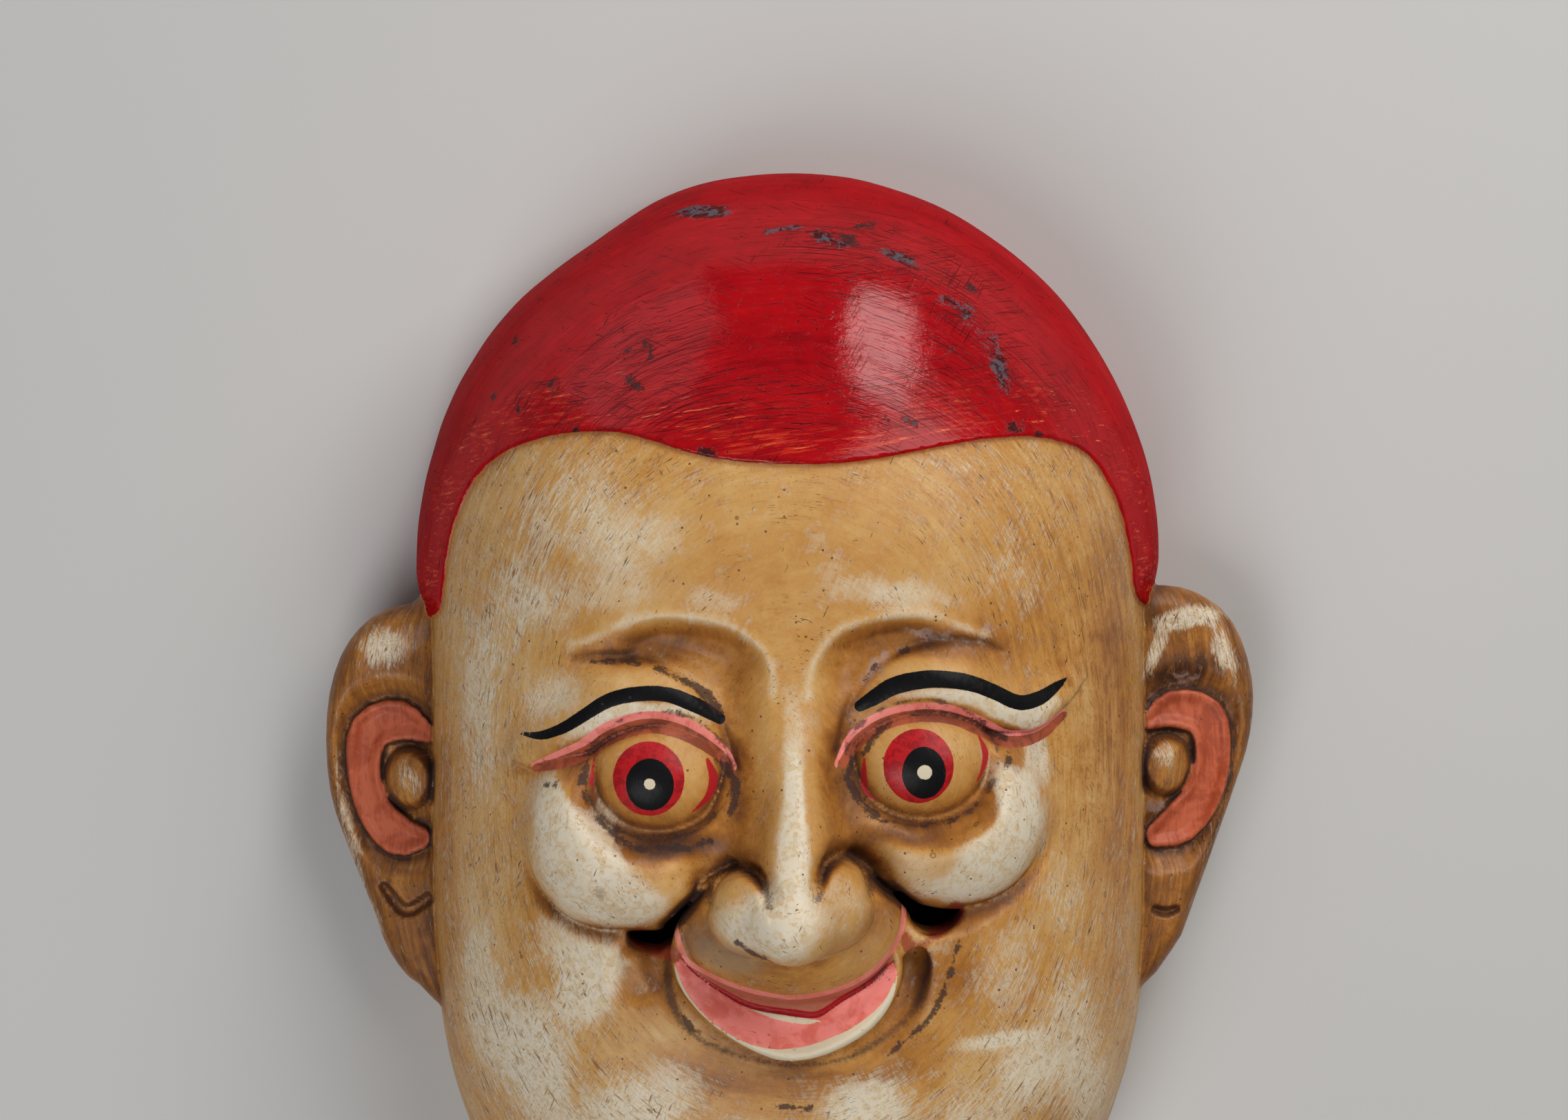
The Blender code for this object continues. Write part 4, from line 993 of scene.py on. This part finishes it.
class Surface:
    """What all of the paint reads: noises over the wood, marks stored on it, and its damage."""

    def __init__(self):
        self.spot = scaled(Wire(node("TexCoord").outputs["Object"]), 1000.0, 1000.0, 1000.0)
        self.flow = mark_vector("flow")
        for name in ("cap", "side", "ear", "cave_fine", "cave", "cave_wide"):
            setattr(self, name, mark(name))
        self.add_noises()
        self.add_wounds()
        self.add_dirt()

    def add_noises(self):
        spot, flow = self.spot, self.flow
        self.hair = streaks(flow, 0.42, 5.0)
        self.stroke = streaks(flow, 1.0, 7.5, 3.0)
        self.brush = streaks(flow, 2.6, 22.0, 3.0)
        self.dash = streaks(flow, 0.34, 3.4, 1.0)
        self.cloud = noise(spot, 28.0, 3.0, 0.55)
        self.patch = noise(spot, 7.5, 5.0, 0.62, 0.6)
        self.mottle = noise(spot, 2.6, 3.0, 0.6, 0.8)
        self.speck = noise(spot, 0.8, 3.0, 0.65)
        self.cluster = noise(spot, 12.0, 3.0, 0.6)
        self.zone = noise(spot, 17.0, 2.0, 0.5)
        self.waver = noise(spot, 4.5, 3.0, 0.6)
        self.rising = streaks(turned(spot, 0.42), 0.75, 6.5, 2.0)
        self.falling = streaks(turned(spot, -0.48), 0.5, 5.0, 2.0)
        self.flat = noise(scaled(turned(spot, -0.12), 1 / 13.0, 1 / 1.0, 1 / 4.0), 1.0, 3.0, 0.65)
        self.fibre = noise(scaled(spot, 1 / 0.7, 1 / 26, 1 / 1.2), 1.0, 4.0, 0.6, 0.3)

    def add_wounds(self):
        """Scratches, pores and worm rings of the face, and lines, chips and pits of the cap."""
        cluster, zone, speck, patch = self.cluster, self.zone, self.speck, self.patch
        scratch = step_up(self.dash, 0.66, 0.70) * step_up(cluster, 0.53, 0.62)
        scratch = most(scratch, step_up(self.falling, 0.70, 0.74) * step_up(zone, 0.53, 0.6))
        scratch = most(scratch, step_up(self.rising, 0.71, 0.745) * step_down(cluster, 0.40, 0.48))
        far, chance = cells(self.spot, 2.6)
        self.pore = step_down(far - 0.25 * chance, 0.08, 0.18) * step_up(chance, 0.88, 0.90)
        far, chance = cells(self.spot, 13.0)
        ring = step_down(calc("ABSOLUTE", far - 0.7), 0.12, 0.28) * step_up(chance, 0.84, 0.85)
        self.hurt = most(scratch, most(self.pore, ring * 0.6))
        scarred = mark("scratched")
        lines = step_up(streaks(self.flow, 0.30, 12.0, 1.0) + 0.05 * scarred, 0.645, 0.685)
        lines = lines * step_up(cluster + 0.2 * scarred, 0.50, 0.60)
        for angle, where in ((-1.15, step_down(cluster, 0.44, 0.52)), (0.55, step_up(zone, 0.54, 0.62)),
                             (1.45, step_up(scarred, 0.3, 0.7))):
            crossing = streaks(turned(self.spot, angle), 0.30, 12.0, 1.0)
            lines = most(lines, step_up(crossing + 0.04 * scarred, 0.66, 0.70) * where)
        self.lines = most(lines, step_up(self.dash + 0.06 * scarred, 0.67, 0.71) * step_up(patch, 0.50, 0.60))
        chipped = mark("chip") * (0.35 + 1.3 * patch) + (speck - 0.5) * 1.1 + (self.hair - 0.5) * 1.3
        self.chipped = step_up(chipped, 0.50, 0.62)
        self.pitted = step_up(mark("pit") + (speck - 0.5) * 1.5 + (self.mottle - 0.5) * 0.8, 0.45, 0.75)

    def add_dirt(self):
        """Where the cap's paint covers, where the wood is bare, and dark granular grime in the crevices, with
        one painted shadow line under the nose.
        """
        waver = self.waver - 0.5
        grit = (self.speck - 0.5) * 1.5
        self.capped = step_up(self.cap + waver * 0.7 + (self.speck - 0.5) * 0.3, 0.0, 0.22)
        self.behind = step_up(mark("depth") + waver * 3.0, 1.4, 2.6)
        eye_line = 0.85 - calc("ABSOLUTE", mark("round_eye") - 0.2)
        ear_line = 0.9 - calc("ABSOLUTE", mark("crescent") + 0.9)
        grime_and_shade = step_up(self.cave_fine * 0.60 + self.cave * 0.46 + grit * 0.55, 0.50, 1.0)
        for value, low, high, amount in (
                (mark("crease") + grit * 1.6 + waver * 2.0, -0.8, 1.0, 0.8),
                (mark("brow_line") + grit * 2.4 + waver * 9.0, -0.2, 1.6, 0.4),
                # Dark lines of old grime, one of them a painted shadow under the nose.
                (mark("ink") + grit * 1.5 + waver * 4.0, -0.4, 0.4, 1.0),
                (mark("curl") * 0.45 + grit * 1.4 + (self.patch - 0.5) * 2.0, -0.75, 0.1, 0.8),
                (eye_line + grit * 1.2 + waver * 5.0, 0.2, 1.2, 0.85),
                (ear_line + grit * 1.2 + waver * 5.0, 0.3, 1.1, 0.9)):
            grime_and_shade = most(grime_and_shade, step_up(value, low, high) * amount)
        self.grime_and_shade = grime_and_shade * (1.0 - 0.75 * self.capped)


def skin_paint(s):
    """Cream ground under a tan glaze that was rubbed unevenly, with brown caught in its streaks."""
    side, patch, mottle, speck, zone = s.side, s.patch, s.mottle, s.speck, s.zone
    eye = mark("round_eye")
    roll = step_up(eye, -2.5, 1.0) * step_down(eye, 3.5, 8.0)
    glaze = 0.40 + 0.46 * (s.cloud - 0.5) + 0.40 * (patch - 0.5) + (0.14 + 0.30 * side) * (s.brush - 0.5)
    glaze = glaze + (0.12 + 0.30 * side) * (s.stroke - 0.5) + 0.14 * (mottle - 0.5) + mark("stained") * 0.85
    glaze = glaze + 0.20 * s.cave_wide + 0.28 * s.cave + 0.13 * roll + 0.28 * s.ear - 0.12 * mark("arch")
    skin = colours(glaze, [
        (0.10, (0.72, 0.50, 0.27)), (0.34, (0.62, 0.35, 0.115)), (0.50, (0.54, 0.25, 0.056)),
        (0.66, (0.38, 0.145, 0.026)), (0.84, (0.18, 0.062, 0.014)), (1.0, (0.07, 0.026, 0.012))])
    worn = mark("worn") + 0.22 * mark("arch") + 0.16 * mark("edge") - 0.30 * roll - 0.22 * s.cave_wide
    worn = worn + side * (0.06 - 0.16 * s.ear)
    worn = worn + 0.75 * (patch - 0.5) + 0.45 * (mottle - 0.5) + (0.16 + 0.62 * side) * (s.stroke - 0.5)
    worn = worn + (0.12 + 0.50 * side) * (s.hair - 0.5)
    worn = worn + (0.24 + 0.40 * side) * (s.rising - 0.5) * step_up(zone, 0.40, 0.56)
    worn = worn + (0.20 + 0.50 * side) * (s.falling - 0.5) * step_down(zone, 0.44, 0.58)
    worn = worn + 0.20 * (speck - 0.5)
    aged = step_up(mottle + 0.5 * (patch - 0.5), 0.42, 0.66)
    cream = blended((0.78, 0.69, 0.53), (0.71, 0.55, 0.34), aged)
    skin = blended(skin, cream, step_up(worn, 0.02, 0.30) * 0.55)
    skin = blended(skin, cream, step_up(worn, 0.20, 0.46) * 0.9)
    caught = most(step_up(s.stroke, 0.57, 0.68), step_up(s.falling, 0.58, 0.68) * step_down(zone, 0.44, 0.54))
    caught = most(caught, step_up(s.rising, 0.60, 0.70) * step_up(zone, 0.46, 0.56))
    caught = caught * (0.2 + 0.7 * side) * step_up(patch + 0.4 * (s.cluster - 0.5), 0.38, 0.56)
    skin = blended(skin, (0.27, 0.105, 0.026), caught)
    grime = step_up(speck + 0.35 * (mottle - 0.5) + 0.30 * s.cave + 0.06 * side, 0.60, 0.76) * 0.42
    skin = blended(skin, (0.20, 0.080, 0.026), grime)
    smudge = step_up(mark("smudge") + (speck - 0.5) * 1.3, 0.20, 0.85) * 0.6
    skin = blended(skin, (0.30, 0.225, 0.155), smudge)
    haze = mark("bloom") + (patch - 0.5) * 1.0 + (mottle - 0.5) * 1.2
    skin = blended(skin, (0.46, 0.31, 0.25), step_up(haze, 0.30, 0.75) * 0.6)
    return blended(skin, (0.10, 0.040, 0.016), s.hurt * 0.7)


def feature_paint(s, paint):
    """Eyes, lids, lashes, lips and ears, each brushed on with a slightly ragged edge; the shade under the
    upper lids' ledges and under the upper lip's overhang is painted in as darker bands.
    """
    patch, mottle = s.patch, s.mottle
    ragged = (s.speck - 0.5) * 0.35 + (s.waver - 0.5) * 0.5
    black = (0.006, 0.006, 0.007)
    pale = (0.74, 0.64, 0.46)
    pink = blended((0.94, 0.28, 0.24), (0.80, 0.18, 0.14), step_up(patch, 0.45, 0.62))
    faded = step_up(patch + 0.4 * (s.stroke - 0.5), 0.42, 0.62)
    for name, colour in (
            # Painted shade: a dark red-brown band under each upper lid's ledge stands for its shadow.
            ("lid_dark", blended((0.44, 0.10, 0.045), (0.24, 0.055, 0.025), step_up(patch, 0.4, 0.6))),
            ("lid_bright", pink), ("lower_lip", pink),
            # Painted shade: the darker red-brown of the upper lip under its crest stands for the shade of its
            # overhang.
            ("upper_lip", blended((0.50, 0.17, 0.10), (0.34, 0.10, 0.05), mottle)),
            ("lip_crest", blended((0.74, 0.25, 0.16), pink, 0.5)), ("lip_rim", pale), ("teeth", pale),
            ("mouth_line", (0.36, 0.008, 0.012)),
            ("crescent", blended((0.56, 0.125, 0.055), (0.40, 0.075, 0.03), faded)),
            ("iris", blended((0.50, 0.010, 0.014), (0.34, 0.006, 0.010), step_up(mottle, 0.45, 0.6))),
            ("vein", (0.46, 0.016, 0.02)), ("pupil", black), ("spark", pale), ("lash", black)):
        paint = blended(paint, colour, step_up(mark(name) + ragged * 0.7, -0.12, 0.12))
    paint = blended(paint, (0.10, 0.045, 0.02), s.hurt * 0.4)
    rim = step_up(s.cap + 0.8 * (patch - 0.5), -1.8, -0.1) * (1.0 - s.ear)
    return blended(paint, (0.36, 0.105, 0.025), rim * 0.6)


def cap_paint(s):
    """Deep red with dry orange strokes above its edge, dark lines, chips and pits."""
    red = colours(s.brush * 0.35 + s.patch * 0.35 + s.cloud * 0.3, [
        (0.34, (0.25, 0.0020, 0.005)), (0.46, (0.36, 0.0026, 0.006)), (0.58, (0.44, 0.0036, 0.007)),
        (0.70, (0.52, 0.010, 0.010))])
    dry = step_up(s.cap, 1.0, 4.0) * step_down(s.cap, 8.0, 22.0) * step_up(s.flat, 0.50, 0.60)
    red = blended(red, (0.62, 0.040, 0.018), dry * 0.75 * step_up(s.zone, 0.36, 0.6))
    red = blended(red, (0.70, 0.15, 0.055), dry * step_up(s.flat, 0.64, 0.70))
    red = blended(red, (0.050, 0.003, 0.005), most(s.lines * 0.75, s.pore * 0.8))
    primer = blended((0.05, 0.012, 0.012), (0.085, 0.105, 0.13), step_up(s.mottle, 0.46, 0.56))
    red = blended(red, primer, s.chipped * 0.9)
    red = blended(red, (0.022, 0.010, 0.010), s.pitted * 0.85)
    return blended(red, (0.14, 0.003, 0.006), step_up(s.cave_fine, 0.3, 0.9) * 0.7)


def all_paint(s):
    paint = feature_paint(s, skin_paint(s))
    paint = blended(paint, cap_paint(s), s.capped)
    # Dark grime and patina in the crevices, and the painted shadow line under the nose.
    paint = blended(paint, (0.040, 0.020, 0.018), s.grime_and_shade * 0.85)
    red_corners = step_up(mark("reds") + (s.speck - 0.5) * 0.8, 0.25, 0.7) * 0.8
    paint = blended(paint, (0.30, 0.035, 0.018), red_corners)
    stained_wood = colours(s.fibre * 0.65 + s.cloud * 0.35, [
        (0.34, (0.085, 0.042, 0.020)), (0.5, (0.17, 0.088, 0.042)), (0.66, (0.27, 0.155, 0.078))])
    return blended(paint, stained_wood, s.behind)


def painted_wood():
    material = bpy.data.materials.new("painted_wood")
    material.use_nodes = True
    Shop.tree = material.node_tree
    shader = material.node_tree.nodes["Principled BSDF"]
    s = Surface()
    capped = s.capped
    feed(shader.inputs["Base Color"], all_paint(s))

    rough = 0.42 + 0.4 * (s.patch - 0.5) + 0.3 * (s.speck - 0.5) + 0.3 * s.grime_and_shade + 0.12 * s.cave
    rough = rough + capped * (0.1 + 0.35 * s.lines + 0.3 * s.chipped) + s.behind * 0.35
    feed(shader.inputs["Roughness"], least(most(rough, 0.16), 0.85))
    inked = most(step_up(mark("pupil"), -0.1, 0.1), step_up(mark("lash"), -0.1, 0.1))
    feed(shader.inputs["Specular IOR Level"], 0.26 - 0.26 * capped - 0.16 * inked)
    shader.inputs["Coat Roughness"].default_value = 0.055
    whole = 1.0 - 0.6 * s.chipped - 0.5 * s.lines
    feed(shader.inputs["Coat Weight"], capped * (0.44 - 0.40 * mark("rubbed")) * whole + 0.04)

    height = 0.05 * s.hair + 0.06 * s.stroke + 0.08 * s.brush + 0.05 * s.patch + 0.03 * s.speck
    height = height - 0.09 * s.hurt - 0.10 * (capped * s.lines) - 0.12 * (capped * most(s.chipped, s.pitted))
    height = height + 0.10 * (s.behind * s.fibre) + capped * (0.10 * s.patch + 0.08 * s.flat)
    relief = node("Bump")
    relief.inputs["Strength"].default_value = 0.7
    relief.inputs["Distance"].default_value = 0.001
    feed(relief.inputs["Height"], height)
    for socket in ("Normal", "Coat Normal"):
        feed(shader.inputs[socket], Wire(relief.outputs[0]))
    return material


def place_mask():
    """The carving at its real size, centred where the CAD solid stands."""
    piece, points, normals = carve_mask()
    low, high = (np.array(corner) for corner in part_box("mask"))
    middle = (low + high) / 2
    shift = middle - (points.min(0) + points.max(0)) / 2000
    shift[2] = low[2] - points[:, 2].min() / 1000
    piece.data.vertices.foreach_set("co", (points / 1000 + shift).ravel())
    piece.data.update()
    piece.data.shade_smooth()
    piece.data.normals_split_custom_set_from_vertices(normals.tolist())
    piece.data.materials.clear()
    piece.data.materials.append(painted_wood())
    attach(piece, "root")
    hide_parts("mask")
    return Vector(shift)


def plain(name, colour, roughness):
    material = bpy.data.materials.new(name)
    material.use_nodes = True
    shader = material.node_tree.nodes["Principled BSDF"]
    shader.inputs["Base Color"].default_value = (*colour, 1.0)
    shader.inputs["Roughness"].default_value = roughness
    return material


def lay_floor():
    mesh = bpy.data.meshes.new("floor")
    reach, under = 3.0, -0.0004
    corners = [(-reach, -reach, under), (reach, -reach, under), (reach, reach, under), (-reach, reach, under)]
    mesh.from_pydata(corners, [], [(0, 1, 2, 3)])
    floor = bpy.data.objects.new("floor", mesh)
    bpy.context.scene.collection.objects.link(floor)
    mesh.materials.append(plain("pale_floor", (0.58, 0.57, 0.555), 0.8))


def soft_light(name, place, aim, size, power, colour=(1.0, 1.0, 1.0)):
    light = bpy.data.lights.new(name, "AREA")
    light.shape = "RECTANGLE"
    light.size, light.size_y = size
    light.energy = power
    light.color = colour
    lamp = bpy.data.objects.new(name, light)
    bpy.context.scene.collection.objects.link(lamp)
    lamp.location = place
    lamp.rotation_euler = (Vector(aim) - Vector(place)).to_track_quat("-Z", "Y").to_euler()


def light_studio(shift):
    world = bpy.data.worlds.new("studio")
    world.use_nodes = True
    world.node_tree.nodes["Background"].inputs["Color"].default_value = (0.80, 0.83, 0.88, 1.0)
    world.node_tree.nodes["Background"].inputs["Strength"].default_value = 0.10
    bpy.context.scene.world = world
    aim = shift + Vector((0, 0.03, 0.07))
    soft_light("key", (0.78, 0.72, 1.15), aim, (1.0, 1.0), 13.0, (1.0, 0.98, 0.95))
    on_cap = shift + Vector((0.03, 0.108, 0.095))
    soft_light("window", (0.42, 1.22, 0.57), on_cap, (0.30, 0.52), 4.4, (1.0, 0.98, 0.96))
    soft_light("top", (-0.62, 1.12, 0.42), aim, (0.75, 0.75), 1.8, (0.95, 0.97, 1.0))
    soft_light("fill", (-0.50, -0.72, 1.25), aim, (0.9, 0.9), 10.0, (0.97, 0.98, 1.0))
    bpy.context.scene.view_settings.view_transform = "Standard"


def set_camera(shift):
    camera = bpy.data.cameras.new("camera")
    camera.sensor_fit = "HORIZONTAL"
    camera.sensor_width = SENSOR
    camera.lens = LENS_PIXELS / IMAGE_PIXELS * SENSOR
    camera.clip_end = 10.0
    viewer = bpy.data.objects.new("camera", camera)
    bpy.context.scene.collection.objects.link(viewer)
    place = Matrix.Translation(shift + Vector((0, CAMERA_UP, CAMERA_HEIGHT)))
    viewer.matrix_world = place @ Matrix.Rotation(-math.radians(CAMERA_TURN), 4, "Z")
    bpy.context.scene.camera = viewer


shift = place_mask()
lay_floor()
light_studio(shift)
set_camera(shift)
